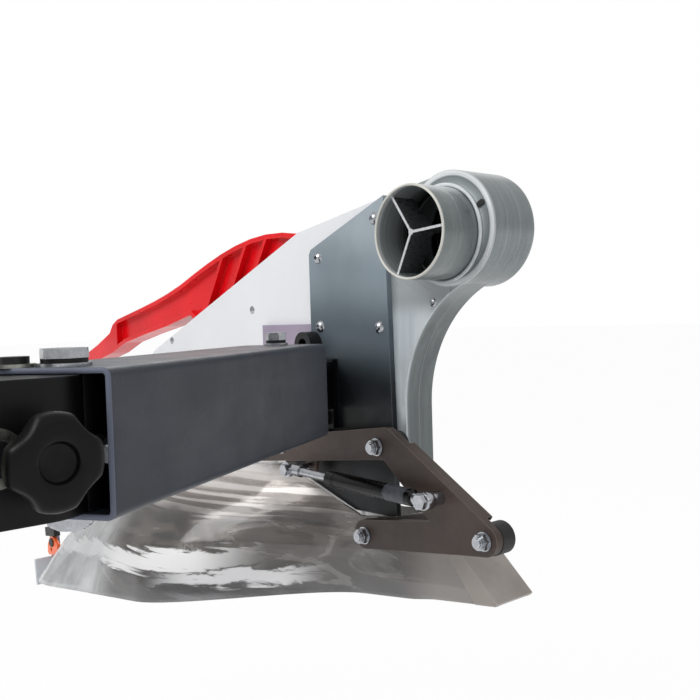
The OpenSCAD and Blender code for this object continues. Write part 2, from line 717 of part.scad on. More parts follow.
module hinge_pin() {
    color(c_zinc) at_far() translate([hinge_x, carrier_y - washer_t - 9, hinge_z])
        bar_y(pin_d - 2 * flat_fit, washer_t + 9 + carrier_t + spacer_len + plate_t);
}
module hinge_spacer() {
    color(c_black) at_far() translate([hinge_x, carrier_y + carrier_t + 0.3, hinge_z]) difference() {
        bar_y(spacer_d, spacer_len - 0.3);
        translate([0, -1, 0]) bar_y(pin_d, spacer_len + 2);
    }
}
module hinge_nut() {
    color(c_zinc) at_far() translate([hinge_x, carrier_y - 0.3, hinge_z]) rotate([90, 0, 0]) {
        ring(pin_d * 2, pin_d, 1.6);
        translate([0, 0, 1.6]) lock_nut(pin_d * 1.6, pin_d, pin_d);
    }
}
lug_screw_gap = 16;
function lug_screw_places() = [[lug_x + 3, -60]];
module gas_spring_lug() {
    gap = 1.6;
    front = carrier_y + carrier_t + gap;
    color(c_brown) at_far() difference() {
        union() {
            plate_y_from(front, 4) hull() {
                translate([lug_x, lug_z]) circle(r = 8, $fn = 32);
                translate([lug_x - 6, -52]) square([18, 4]);
            }
            plate_y_from(front, plate_y - front) translate([lug_x - 6, -68]) square([18, 20]);
        }
        translate([lug_x, front - 1, lug_z]) bar_y(6, 7);
        for (p = lug_screw_places()) translate([p[0], front - 1, p[1]]) bar_y(6, plate_y - front + 2);
    }
}

// Carrier plate: upper arm, slanted leg and lower leg of one sheet

module carrier_outline() {
    top = 17;
    under = -8;
    leg_top = -66;
    leg_low = -93;
    p3 = hood_bolt_u + hood_pitch;
    union() {
        polygon([[front_bolt_u, under], [6, under - 4], [6, top], [front_bolt_u, top]]);
        translate([front_bolt_u, (top + under) / 2]) circle(r = (top - under) / 2, $fn = 64);
        hull() {
            translate([10, 4]) circle(r = 13, $fn = 32);
            translate([p3, hood_bolt_w]) circle(r = 13, $fn = 32);
            translate([24, -20]) circle(r = 8, $fn = 32);
            translate([p3 - 30, leg_low + 8]) circle(r = 8, $fn = 32);
        }
        polygon([[hood_bolt_u, leg_low], [p3 - 20, leg_low], [p3 - 20, leg_top], [hood_bolt_u, leg_top]]);
        translate([hood_bolt_u, (leg_low + leg_top) / 2]) circle(r = (leg_top - leg_low) / 2, $fn = 64);
    }
}
function carrier_holes() = [[hood_bolt_u, hood_bolt_w], [hood_bolt_u + hood_pitch, hood_bolt_w], [front_bolt_u, front_bolt_w]];
// Flange bent back along the slanted leg, between a place past the hinge and the rear bolt
flange_a = [33, 1];
flange_b = [112, -63];
flange_deep = 15;
module carrier_plate() {
    color(c_brown) in_carrier() difference() {
        union() {
            plate_y_from(carrier_y, carrier_t) carrier_outline();
            plate_y_from(carrier_y, flange_deep) strip_along(flange_a, flange_b, 3.5);
        }
        translate([0, carrier_y - 1, 0]) bar_y(pin_d + 2 * run_fit, carrier_t + 2);
        for (p = carrier_holes()) translate([p[0], carrier_y - 1, p[1]]) bar_y(pin_d, carrier_t + 2);
        translate([spring_u, carrier_y - 1, spring_w]) bar_y(pin_d, carrier_t + 2);
    }
}
wall_y = guard_mid - tail_half;
mount_t = 3;
module carrier_bolts() {
    color(c_zinc) in_carrier() for (i = [0, 1, 2]) translate([carrier_holes()[i][0], carrier_y - 10.6, carrier_holes()[i][1]])
        bar_y(pin_d - 2 * flat_fit, 10.6 + carrier_t + (i == 1 ? spacer_len - 3 : wall_y - carrier_y - carrier_t));
}
module carrier_nuts() {
    color(c_zinc) in_carrier() for (p = carrier_holes()) translate([p[0], carrier_y - 1.6, p[1]]) rotate([90, 0, 0])
        lock_nut(pin_d * 1.6, pin_d, pin_d);
}
module carrier_washers() {
    color(c_zinc) in_carrier() for (p = carrier_holes()) translate([p[0], carrier_y, p[1]]) rotate([90, 0, 0])
        ring(pin_d * 2, pin_d, 1.6);
}
module carrier_spacers() {
    color(c_black) in_carrier() for (i = [0, 2])
        translate([carrier_holes()[i][0], carrier_y + carrier_t, carrier_holes()[i][1]]) difference() {
            bar_y(i == 0 ? spacer_d : 16, wall_y - mount_t - carrier_y - carrier_t);
            translate([0, -1, 0]) bar_y(pin_d, spacer_len + 2);
        }
}
module rear_buffer() {
    color(c_black) in_carrier() translate([hood_bolt_u + hood_pitch, carrier_y + carrier_t, hood_bolt_w]) difference() {
        bar_y(spacer_d, spacer_len);
        translate([0, -1, 0]) bar_y(pin_d, spacer_len - 2);
    }
}
module spring_bolt() {
    color(c_zinc) in_carrier() translate([spring_u, 0, spring_w]) {
        translate([0, spring_y - eye_w / 2 - 3, 0]) bar_y(pin_d - 2 * eye_fit, carrier_y + carrier_t - spring_y + eye_w / 2 + 3);
        translate([0, spring_y + eye_w / 2 + 0.5, 0]) difference() {
            bar_y(12, carrier_y - spring_y - eye_w / 2 - 0.5);
            translate([0, -1, 0]) bar_y(pin_d - 2 * eye_fit, 30);
        }
        translate([0, spring_y - eye_w / 2 - 0.5, 0]) rotate([90, 0, 0]) hex_head(12, 4);
    }
}

// Clear hood: one moulded skin that runs from the near tail, round the nose, to the far tail

tail_u = 97;
rear_top_u = 31.6;
nose_u = -(hood_front - 130);
// Height of the slot's edge along the hood, in the carrier's frame
function slot_top(u) =
    u > rear_top_u ? -62 - (u - rear_top_u) * 1.19 :
    u > -53 ? -62 - min(4, (rear_top_u - u) * 0.1) :
    u > -166 ? -66 + (-53 - u) * 0.478 : -12 + 8 * (1 - cos(min(90, (-166 - u) * 0.6)));
function smooth(x) = x <= 0 ? 0 : x >= 1 ? 1 : x * x * (3 - 2 * x);
function half_width(u) = slot_half(u) + (dome_half - tail_half) * smooth((-58 - u) / 230);
// The tail is narrower behind the mounting plate
rear_half = tail_half - 6.5;
function slot_half(u) = tail_half - (tail_half - rear_half) * smooth(u / 28);
// How straight the skin runs from the slot to the rim: rounder at the side, straighter towards the nose
function straight(u) = 0.15 + 0.7 * smooth((-330 - u) / 200);
side_steps = 30;
nose_steps = 14;
rows = 9;
// Plan station k: the slot's edge point and the rim's point
function u_at(k) = tail_u + (nose_u - tail_u) * (k / side_steps);
function slot_pt(k) =
    k <= side_steps ? [u_at(k), -slot_half(u_at(k)), slot_top(u_at(k))] :
    k >= side_steps + nose_steps ? let (u = u_at(2 * side_steps + nose_steps - k)) [u, slot_half(u), slot_top(u)] :
    let (a = 180 * (k - side_steps) / nose_steps)
        [nose_u - tail_half * 0.8 * sin(a), -tail_half * cos(a), slot_top(nose_u)];
function rim_pt(k) =
    k <= side_steps ? [u_at(k), -half_width(u_at(k)), -rim_drop] :
    k >= side_steps + nose_steps ? let (u = u_at(2 * side_steps + nose_steps - k)) [u, half_width(u), -rim_drop] :
    let (a = 180 * (k - side_steps) / nose_steps)
        [nose_u - (hood_front + nose_u) * pow(sin(a), 0.8), -dome_half * (cos(a) < 0 ? -1 : 1) * pow(abs(cos(a)), 0.7), -rim_drop];
// A point of the outer skin: k along the plan, v from the slot's edge (0) to the rim (1)
function skin(k, v) =
    let (s = slot_pt(k), r = rim_pt(k), a = 90 * v, f = straight(r[0]),
         out = (1 - f) * sin(a) + f * v, down = (1 - f) * (1 - cos(a)) + f * v)
        [s[0] + (r[0] - s[0]) * out, s[1] + (r[1] - s[1]) * out, s[2] + (r[2] - s[2]) * down];
module clear_hood() {
    stations = 2 * side_steps + nose_steps;
    outer = [for (k = [0 : stations]) [for (j = [0 : rows]) skin(k, j / rows)]];
    inner = [for (k = [0 : stations]) [for (j = [0 : rows])
        let (ka = max(0, k - 1), kb = min(stations, k + 1), ja = max(0, j - 1), jb = min(rows, j + 1),
             n = cross(outer[kb][j] - outer[ka][j], outer[k][jb] - outer[k][ja]))
            outer[k][j] - hood_t * n / norm(n)]];
    n = rows + 1;
    total = (stations + 1) * n;
    points = concat([for (row = outer, p = row) p], [for (row = inner, p = row) p]);
    faces = concat(
        [for (k = [0 : stations - 1], j = [0 : rows - 1], f = [0, 1])
            f == 0 ? [k * n + j, (k + 1) * n + j, k * n + j + 1] : [(k + 1) * n + j, (k + 1) * n + j + 1, k * n + j + 1]],
        [for (k = [0 : stations - 1], j = [0 : rows - 1], f = [0, 1])
            f == 0 ? [total + k * n + j, total + k * n + j + 1, total + (k + 1) * n + j] :
                     [total + (k + 1) * n + j, total + k * n + j + 1, total + (k + 1) * n + j + 1]],
        [for (k = [0 : stations - 1], f = [0, 1])
            f == 0 ? [k * n, total + k * n, (k + 1) * n] : [(k + 1) * n, total + k * n, total + (k + 1) * n]],
        [for (k = [0 : stations - 1], f = [0, 1])
            f == 0 ? [k * n + rows, (k + 1) * n + rows, total + k * n + rows] :
                     [(k + 1) * n + rows, total + (k + 1) * n + rows, total + k * n + rows]],
        [for (j = [0 : rows - 1], f = [0, 1]) f == 0 ? [j, j + 1, total + j] : [j + 1, total + j + 1, total + j]],
        [for (j = [0 : rows - 1], f = [0, 1], k = [stations])
            f == 0 ? [k * n + j, total + k * n + j, k * n + j + 1] : [k * n + j + 1, total + k * n + j, total + k * n + j + 1]]);
    color(c_clear, 0.4) in_carrier() translate([0, guard_mid, 0]) polyhedron(points, faces);
}
module hood_mount_plate() {
    color(c_zinc) in_carrier() difference() {
        plate_y_from(wall_y - mount_t, mount_t) union() {
            hull() {
                translate([hood_bolt_u, hood_bolt_w]) circle(r = 11, $fn = 32);
                translate([hood_bolt_u + 42, hood_bolt_w]) circle(r = 11, $fn = 32);
            }
            hull() {
                translate([front_bolt_u, front_bolt_w]) circle(r = 9, $fn = 32);
                translate([front_bolt_u, slot_top(front_bolt_u) + 9]) circle(r = 9, $fn = 32);
            }
        }
        for (i = [0, 2]) translate([carrier_holes()[i][0], wall_y - mount_t - 1, carrier_holes()[i][1]]) bar_y(pin_d, mount_t + 2);
    }
}
// Folded cover that closes the hood's tail, with a flange on each side
cover_t = 3;
cover_flange = 22;
module rear_cover() {
    top = [rear_top_u, -62];
    low = [tail_u, slot_top(tail_u)];
    // The flanges start at the first station where the hood's tail is at its full narrowness
    start = u_at(3) + 0.2;
    color(c_zinc) in_carrier() {
        plate_y_from(guard_mid - rear_half - 2, 2 * rear_half + 4) strip_along(top, low, -cover_t);
        for (s = [0, 1]) plate_y_from(s == 0 ? guard_mid - rear_half - 2 : guard_mid + rear_half, 2)
            polygon([[start, slot_top(start)], low, low - [cover_flange, 0], [start, slot_top(start) - 10]]);
    }
}

// Gas spring

rod_seat = 14;
module gas_rod() {
    color(c_zinc) in_spring() {
        difference() {
            union() {
                translate([0, -eye_w / 2, 0]) bar_y(eye_d, eye_w);
                rotate([0, 90, 0]) cylinder(d = 11, h = rod_seat + 4, $fn = 48);
                rotate([0, 90, 0]) cylinder(d = rod_d, h = spring_len - cyl_len * 0.5, $fn = 48);
            }
            translate([0, -eye_w, 0]) bar_y(6, 2 * eye_w);
        }
        // eye bolt through the lug
        translate([0, -eye_w / 2 - 4, 0]) bar_y(6 - 2 * flat_fit, carrier_y + carrier_t + 5.6 - spring_y + eye_w / 2 + 4);
        translate([0, -eye_w / 2, 0]) rotate([90, 0, 0]) hex_head(10, 4);
    }
}
module gas_cylinder() {
    tail = 24;
    color(c_black) in_spring() difference() {
        union() {
            translate([spring_len - tail - cyl_len, 0, 0]) rotate([0, 90, 0]) cylinder(d = cyl_d, h = cyl_len, $fn = 64);
            translate([spring_len - tail - 1, 0, 0]) rotate([0, 90, 0]) cylinder(d = 9, h = tail, $fn = 48);
            translate([spring_len, -eye_w / 2, 0]) bar_y(eye_d, eye_w);
        }
        translate([spring_len - tail - cyl_len - 1, 0, 0]) rotate([0, 90, 0])
            cylinder(d = rod_d + 2 * run_fit, h = cyl_len - 4, $fn = 48);
        translate([spring_len, -eye_w, 0]) bar_y(pin_d, 2 * eye_w);
    }
}

// Catch at the hood's front

catch_u = -hood_front - 8;
catch_y = -80;
catch_z = -rim_drop + 36;
catch_pin_d = 8;
module catch_bracket() {
    color(c_bracket) in_carrier() translate([catch_u - 22, guard_mid + catch_y, catch_z - 54]) {
        cube([40, 4, 34]);
        translate([0, 0, 30]) cube([24, 4, 38]);
    }
}
module catch_stud() {
    color(c_black) in_carrier() translate([catch_u, guard_mid + catch_y, catch_z]) {
        translate([0, -8, 0]) bar_y(catch_pin_d, 8);
        translate([0, -8.6, 0]) bar_y(catch_pin_d + 4, 1.5);
        translate([-14, -9, 9]) cube([28, 9, 12]);
    }
}
module catch_lever() {
    color(c_orange) in_carrier() difference() {
        union() {
            plate_y_from(guard_mid + catch_y - 7, 5) translate([catch_u, catch_z])
                polygon([[-16, -14], [-14, -2], [-7, 4], [7, 4], [15, -2], [17, -14], [12, -17], [-12, -17]]);
            translate([catch_u, guard_mid + catch_y - 7, catch_z]) bar_y(17.6, 5);
        }
        translate([catch_u, guard_mid + catch_y - 20, catch_z]) bar_y(catch_pin_d + 2 * run_fit, 20);
        translate([catch_u - 4, guard_mid + catch_y - 20, catch_z - 10]) bar_y(6, 20);
    }
}

base_flange();
support_arm();
near_pivot_bush();
arm_plug();
arm_plug_washer();
boom_cap();
boom_cap_washer();
boom_tube();
near_pivot_bolt();
near_disc_spring();
near_pivot_washers();
near_pivot_nut();
stop_screw();
stop_lock_nut();
far_pivot_bolt();
far_disc_spring();
far_pivot_washers();
far_pivot_nut();
star_knob();
knob_stud();
swivel_head();
far_pivot_bush();
head_screws();
mounting_plate();
plate_screws();
head_bracket();
head_bracket_screws();
near_side_plate();
far_side_plate();
side_plate_screws();
distance_tubes();
top_strip();
near_duct_shell();
far_duct_shell();
duct_cap();
duct_screws();
port_collar();
front_handle();
handle_pins();
swivel_buffer();
gas_spring_lug();
hinge_pin();
hinge_spacer();
hinge_nut();
carrier_plate();
carrier_bolts();
carrier_nuts();
carrier_washers();
carrier_spacers();
rear_buffer();
spring_bolt();
clear_hood();
hood_mount_plate();
rear_cover();
gas_rod();
gas_cylinder();
catch_bracket();
catch_stud();
catch_lever();
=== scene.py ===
"""Overhead saw guard: the looks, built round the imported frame.

Outlines and places are in millimetres and become metres through MM. Values inside materials, edge
widths and the stage are in metres from the start.
"""
import math

import bmesh
import bpy
from mathutils import Matrix, Vector

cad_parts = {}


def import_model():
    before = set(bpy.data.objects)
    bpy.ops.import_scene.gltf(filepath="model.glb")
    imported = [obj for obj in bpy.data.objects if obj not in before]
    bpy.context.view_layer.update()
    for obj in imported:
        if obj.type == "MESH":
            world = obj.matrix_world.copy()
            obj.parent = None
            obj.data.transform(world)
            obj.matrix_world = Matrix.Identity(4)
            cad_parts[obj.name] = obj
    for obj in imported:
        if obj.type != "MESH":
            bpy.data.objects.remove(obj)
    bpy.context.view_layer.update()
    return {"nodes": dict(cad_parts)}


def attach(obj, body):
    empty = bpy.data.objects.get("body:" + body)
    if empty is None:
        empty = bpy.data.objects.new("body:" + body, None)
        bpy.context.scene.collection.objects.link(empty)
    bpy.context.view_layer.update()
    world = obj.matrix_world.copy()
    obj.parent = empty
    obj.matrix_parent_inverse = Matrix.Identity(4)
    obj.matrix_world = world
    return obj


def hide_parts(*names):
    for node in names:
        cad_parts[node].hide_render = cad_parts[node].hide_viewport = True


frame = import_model()
nodes = frame["nodes"]
scene = bpy.context.scene
MM = 0.001

# Places that the part's source also states
BOOM_SKEW = math.radians(30)
BOOM_LINE = Vector((-math.sin(BOOM_SKEW), math.cos(BOOM_SKEW), 0))
NEAR = Vector((0, 260, 0))
FAR = NEAR + 300 * BOOM_LINE
BOOM_START = NEAR - 18 * BOOM_LINE
HINGE_X, HINGE_Z = 31.0, -55.5
HOOD_TILT = math.radians(7)
GUARD_MID = 133.5
DUCT_FACE_Y = 116.0
PORT_X, PORT_Z = 92, 132


def head_point(x, y, z):
    """A point of the guard head's frame as a point of the row frame in metres."""
    return (FAR + Vector((x, y, z))) * MM


def carrier_point(u, y, w):
    """A point of the hood carrier's tilted frame as a point of the row frame in metres."""
    x = HINGE_X + u * math.cos(HOOD_TILT) - w * math.sin(HOOD_TILT)
    z = HINGE_Z + u * math.sin(HOOD_TILT) + w * math.cos(HOOD_TILT)
    return head_point(x, y, z)


# Camera, fitted to the photograph
CAMERA_TURN = math.radians(48.01)
CAMERA_RISE = math.radians(2.02)
CAMERA_ROLL = math.radians(-1.74)
CAMERA_AT = Vector((474.1, 43.5, 61.6))
CAMERA_LENS = 46.8


def make_camera():
    turn = Vector((math.sin(CAMERA_TURN), -math.cos(CAMERA_TURN), 0))
    back = turn * math.cos(CAMERA_RISE) + Vector((0, 0, math.sin(CAMERA_RISE)))
    right = Vector((math.cos(CAMERA_TURN), math.sin(CAMERA_TURN), 0))
    up = back.cross(right)
    c, s = math.cos(CAMERA_ROLL), math.sin(CAMERA_ROLL)
    axes = (c * right + s * up, -s * right + c * up, back)
    data = bpy.data.cameras.new("view")
    cam = bpy.data.objects.new("view", data)
    scene.collection.objects.link(cam)
    m = Matrix.Identity(4)
    for j, axis in enumerate(axes):
        for i in range(3):
            m[i][j] = axis[i]
    m.translation = CAMERA_AT * MM
    cam.matrix_world = m
    data.sensor_width = 36
    data.lens = CAMERA_LENS
    data.clip_start = 0.01
    scene.camera = cam


# Materials


def srgb(code):
    """Linear colour of a written sRGB colour."""
    out = []
    for i in (0, 2, 4):
        v = int(code[i:i + 2], 16) / 255
        out.append(v / 12.92 if v <= 0.04045 else ((v + 0.055) / 1.055) ** 2.4)
    return (*out, 1.0)


class Graph:
    """Short names for building one material's nodes. Every pattern runs on object coordinates."""

    def __init__(self, name):
        self.mat = bpy.data.materials.new(name)
        self.mat.use_nodes = True
        self.tree = self.mat.node_tree
        self.bsdf = self.tree.nodes["Principled BSDF"]
        self.coord = self.node("ShaderNodeTexCoord").outputs["Object"]

    def node(self, kind, **settings):
        n = self.tree.nodes.new(kind)
        for key, value in settings.items():
            setattr(n, key, value)
        return n

    def link(self, a, b):
        self.tree.links.new(a, b)

    def put(self, socket, value):
        """Links or sets an input of a node."""
        if isinstance(value, bpy.types.NodeSocket):
            self.link(value, socket)
        else:
            socket.default_value = value

    def stretch(self, scale, turn=(0, 0, 0)):
        n = self.node("ShaderNodeMapping")
        self.link(self.coord, n.inputs["Vector"])
        n.inputs["Scale"].default_value = scale
        n.inputs["Rotation"].default_value = turn
        return n.outputs["Vector"]

    def noise(self, scale, detail=3.0, rough=0.5, vector=None, warp=0.0):
        n = self.node("ShaderNodeTexNoise")
        self.link(vector if vector else self.coord, n.inputs["Vector"])
        n.inputs["Scale"].default_value = scale
        n.inputs["Detail"].default_value = detail
        n.inputs["Roughness"].default_value = rough
        n.inputs["Distortion"].default_value = warp
        return n.outputs["Fac"]

    def span(self, value, lo, hi, out_lo=0.0, out_hi=1.0):
        """A soft step: out_lo below lo, out_hi above hi."""
        n = self.node("ShaderNodeMapRange", interpolation_type="SMOOTHSTEP")
        self.link(value, n.inputs["Value"])
        for key, v in (("From Min", lo), ("From Max", hi), ("To Min", out_lo), ("To Max", out_hi)):
            n.inputs[key].default_value = v
        return n.outputs["Result"]

    def band(self, value, lo, lo_full, hi_full, hi):
        """1 between two soft edges, 0 outside them."""
        return self.times(self.span(value, lo, lo_full), self.span(value, hi_full, hi, 1.0, 0.0))

    def math(self, operation, a, b=0.0):
        n = self.node("ShaderNodeMath", operation=operation)
        self.put(n.inputs[0], a)
        self.put(n.inputs[1], b)
        return n.outputs[0]

    def times(self, a, b):
        return self.math("MULTIPLY", a, b)

    def plus(self, a, b):
        return self.math("ADD", a, b)

    def minus(self, vector, place):
        n = self.node("ShaderNodeVectorMath", operation="SUBTRACT")
        self.link(vector, n.inputs[0])
        n.inputs[1].default_value = place
        return n.outputs[0]

    def length(self, vector):
        n = self.node("ShaderNodeVectorMath", operation="LENGTH")
        self.link(vector, n.inputs[0])
        return n.outputs["Value"]

    def split(self, vector):
        n = self.node("ShaderNodeSeparateXYZ")
        self.link(vector, n.inputs[0])
        return n.outputs["X"], n.outputs["Y"], n.outputs["Z"]

    def join(self, **parts):
        n = self.node("ShaderNodeCombineXYZ")
        for axis, value in parts.items():
            self.link(value, n.inputs[axis])
        return n.outputs[0]

    def along(self, direction, start):
        """Distance from a start point along a direction."""
        dot = self.node("ShaderNodeVectorMath", operation="DOT_PRODUCT")
        self.link(self.minus(self.coord, start), dot.inputs[0])
        dot.inputs[1].default_value = direction
        return dot.outputs["Value"]

    def mix(self, factor, a, b):
        n = self.node("ShaderNodeMix", data_type="RGBA")
        self.put(n.inputs["Factor"], factor)
        self.put(n.inputs[6], a)
        self.put(n.inputs[7], b)
        return n.outputs[2]

    def tint(self, factor, color, code):
        """Lays a written colour over another."""
        return self.mix(factor, color, srgb(code))

    def mottled(self, value, code, light, lo=0.3, hi=0.7):
        """Two written colours, divided by a pattern."""
        return self.mix(self.span(value, lo, hi), srgb(code), srgb(light))

    def ramp(self, value, lo, hi, stops):
        """A colour ramp between two values; stops are (value, colour code)."""
        n = self.node("ShaderNodeValToRGB")
        fit = self.node("ShaderNodeMapRange")
        self.link(value, fit.inputs["Value"])
        fit.inputs["From Min"].default_value = lo
        fit.inputs["From Max"].default_value = hi
        self.link(fit.outputs["Result"], n.inputs[0])
        ramp = n.color_ramp
        ramp.interpolation = "EASE"
        while len(ramp.elements) < len(stops):
            ramp.elements.new(0.5)
        for element, (at, code) in zip(ramp.elements, stops):
            element.position = (at - lo) / (hi - lo)
            element.color = srgb(code)
        return n.outputs[0]

    def rounded(self, radius):
        """A normal that runs smoothly round sharp edges."""
        n = self.node("ShaderNodeBevel", samples=6)
        n.inputs["Radius"].default_value = radius
        return n.outputs[0]

    def edges(self, radius, gain):
        """1 on sharp outer and inner edges, 0 on flats."""
        bevel = self.node("ShaderNodeBevel", samples=4)
        bevel.inputs["Radius"].default_value = radius
        geometry = self.node("ShaderNodeNewGeometry")
        dot = self.node("ShaderNodeVectorMath", operation="DOT_PRODUCT")
        self.link(bevel.outputs[0], dot.inputs[0])
        self.link(geometry.outputs["Normal"], dot.inputs[1])
        away = self.math("SUBTRACT", 1.0, dot.outputs["Value"])
        return self.math("MINIMUM", self.times(away, gain), 1.0)

    # Tints the sharp edges: a painted edge highlight where the colour is paler, painted edge shade where it is
    # darker.
    def pale_edges(self, color, code, share, radius, gain):
        return self.tint(self.times(self.edges(radius, gain), share), color, code)

    def bump(self, height, distance, strength=1.0, normal=None):
        n = self.node("ShaderNodeBump")
        n.inputs["Distance"].default_value = distance
        n.inputs["Strength"].default_value = strength
        self.link(height, n.inputs["Height"])
        if normal:
            self.link(normal, n.inputs["Normal"])
        return n.outputs["Normal"]

    def finish(self, color, rough, metal=0.0, normal=None, **sockets):
        self.put(self.bsdf.inputs["Base Color"], color)
        self.put(self.bsdf.inputs["Roughness"], rough)
        self.bsdf.inputs["Metallic"].default_value = metal
        if normal:
            self.link(normal, self.bsdf.inputs["Normal"])
        for key, value in sockets.items():
            self.put(self.bsdf.inputs[key.replace("_", " ")], value)
        return self.mat


def paint(name, code, light, rough, depth, edge=None, mottle=6.0, grain=900.0, metal=0.0, **sockets):
    """Powder coat or moulded plastic: a mottled colour, a fine grain and, with edge, a painted highlight along
    the edges, broken up by noise.
    """
    g = Graph(name)
    color = g.mottled(g.noise(mottle, 4.0, 0.6), code, light)
    if edge:
        # painted highlight: the edge colour laid on the sharp edges, made patchy by a noise
        highlight_break = g.span(g.noise(90.0), 0.2, 0.75, 0.4, 1.0)
        color = g.tint(g.times(g.edges(0.0012, 6.0), highlight_break), color, edge)
    roughness = g.span(g.noise(mottle * 7, 4.0, 0.6), 0.25, 0.75, rough - 0.05, rough + 0.06)
    return g.finish(color, roughness, metal, g.bump(g.noise(grain, 3.0, 0.55), depth), **sockets)


def steel(name, code, light, rough, stain=None):
    """Zinc-plated steel with a fine crystalline surface and, with stain, dull patches."""
    g = Graph(name)
    color = g.mottled(g.noise(220.0, 5.0, 0.65), code, light, 0.2, 0.8)
    if stain:
        color = g.tint(g.span(g.noise(45.0, 3.0), 0.5, 0.75, 0.0, 0.6), color, stain)
    roughness = g.span(g.noise(400.0, 4.0, 0.7), 0.25, 0.75, rough - 0.04, rough + 0.06)
    return g.finish(color, roughness, 1.0, g.bump(g.noise(1500.0, 2.0), 0.000015))


def boom_paint():
    """Slate powder coat with a fine orange peel, a painted highlight along its edges and a paler cut end,
    painted as light on that face.
    """
    g = Graph("boom_slate")
    color = g.mottled(g.noise(5.0, 5.0, 0.6), "31343b", "3e424a")
    streak = g.noise(60.0, 4.0, 0.6, g.stretch((0.12, 0.12, 1.0), (0, 0, BOOM_SKEW)))
    color = g.tint(g.span(streak, 0.45, 0.8, 0.0, 0.3), color, "4a4f57")
    color = g.tint(g.span(g.noise(1500.0, 2.0, 0.6), 0.62, 0.75, 0.0, 0.35), color, "7d8189")
    # painted highlight along the tube's edges
    color = g.pale_edges(color, "8088a0", 0.7, 0.002, 4.0)
    # painted light on the tube's cut end face
    lit_cut_end = g.span(g.along(BOOM_LINE, BOOM_START * MM), 0.0004, 0.0012, 0.85, 0.0)
    color = g.tint(lit_cut_end, color, "767c8e")
    roughness = g.span(g.noise(34.0, 5.0, 0.65), 0.25, 0.75, 0.34, 0.46)
    normal = g.bump(g.noise(900.0, 2.0, 0.5), 0.00009, 0.8, g.rounded(0.0028))
    return g.finish(color, roughness, 0.0, normal, Specular_IOR_Level=0.2)


def plate_paint():
    """The dark plate: painted light towards its top, where it is lighter and bluer, and painted shade low
    down.
    """
    g = Graph("dark_plate")
    # painted light and shade: a ramp by height, from near black low down to pale blue-grey at the top
    height = g.along((0.12, 0, 0.99), (-0.15, 0.6, 0))
    stops = ((-0.05, "131417"), (-0.005, "16181b"), (0.045, "58646c"), (0.1, "8c99a2"), (0.15, "a9b4bc"))
    color = g.ramp(height, -0.09, 0.19, stops)
    color = g.tint(g.span(g.noise(9.0, 5.0, 0.6), 0.35, 0.75, 0.0, 0.25), color, "3a4247")
    # painted highlight along the plate's edges
    color = g.pale_edges(color, "8d979e", 0.6, 0.0008, 5.0)
    roughness = g.span(g.noise(60.0, 4.0), 0.25, 0.75, 0.36, 0.48)
    return g.finish(color, roughness, 0.1, g.bump(g.noise(900.0, 2.0), 0.00003), Specular_IOR_Level=0.35)


def white_paint():
    """White panel with faint specks of dirt and painted shade on its edges."""
    g = Graph("white_panel")
    color = g.mottled(g.noise(4.0, 4.0, 0.6), "e0e1e4", "e9eaed")
    color = g.tint(g.span(g.noise(130.0, 6.0, 0.75), 0.62, 0.8, 0.0, 0.4), color, "c9cbd0")
    # painted shade: greyer sharp edges
    color = g.pale_edges(color, "b9bdc6", 0.3, 0.0008, 4.0)
    roughness = g.span(g.noise(300.0), 0.3, 0.7, 0.42, 0.52)
    return g.finish(color, roughness, 0.0, g.bump(g.noise(1600.0, 2.0), 0.00003))


PORT_AXIS = head_point(PORT_X, DUCT_FACE_Y, PORT_Z)
BARREL_OFFSET = (0.006, 0, 0.004)
# painted highlight and shade on the rolled face round the port: pale and dark rings by radius
FACE_ROLL_SHADING = ((0.0355, "b6bcbf"), (0.0415, "8d9496"), (0.0445, "7c8385"), (0.0462, "dde1e3"),
              (0.049, "eef1f2"), (0.0505, "a9afb1"))
WEB_FRONT = -0.0409
# painted shade inside the duct and the port
INSIDE_SHADE = "060707"


def shell_areas(g, color, flat, out, depth, up, near_axis):
    """Painted light and shade: a pale, lit front on the neck, its darker shaded side, painted highlight and
    shade rings on the rolled face round the port, and painted shade inside.
    """
    below = g.span(up, -0.075, -0.045, 1.0, 0.0)
    brushed = g.noise(30.0, 4.0, 0.6, g.stretch((3.0, 3.0, 0.25), (0, math.radians(8), 0)))
    # painted light: the pale, lit front of the neck
    front = g.times(below, g.span(depth, 0.0005, 0.003, 1.0, 0.0))
    color = g.mix(front, color, g.mottled(brushed, "b9c1c7", "d3dade"))
    # painted shade: the neck's darker side
    side = g.times(below, g.span(depth, 0.002, 0.006))
    color = g.mix(side, color, g.mottled(brushed, "5d6466", "717879"))
    # painted highlight and shade rings on the rolled face round the port
    face = g.times(g.span(depth, 0.0008, 0.003, 1.0, 0.0), near_axis)
    color = g.mix(face, color, g.ramp(g.length(g.minus(flat, BARREL_OFFSET)), 0.034, 0.054, FACE_ROLL_SHADING))
    # painted shade inside the barrel
    inside = g.times(g.span(out, 0.043, 0.0465, 1.0, 0.0), g.span(depth, 0.0035, 0.006))
    return g.tint(inside, color, INSIDE_SHADE)


def collar_areas(g, color, out, depth):
    """Painted light on the collar's mouth, painted shade in its depth and on the spokes' walls, and a painted
    highlight on the web's front.
    """
    inside = g.span(out, 0.0385, 0.0392, 1.0, 0.0)
    # painted light on the port's inner wall near its mouth
    color = g.tint(g.times(inside, 0.6), color, "b3babb")
    # painted shade deeper in the port
    color = g.tint(g.times(inside, g.span(depth, -0.024, 0.0)), color, INSIDE_SHADE)
    # painted shade on the spokes' walls inside the web
    color = g.tint(g.span(out, 0.0365, 0.0372, 0.82, 0.0), color, "0a0b0c")
    # painted highlight on the web's front
    web_front_highlight = g.times(inside, g.span(depth, WEB_FRONT, WEB_FRONT + 0.0006, 1.0, 0.0))
    return g.tint(web_front_highlight, color, "d6dadc")


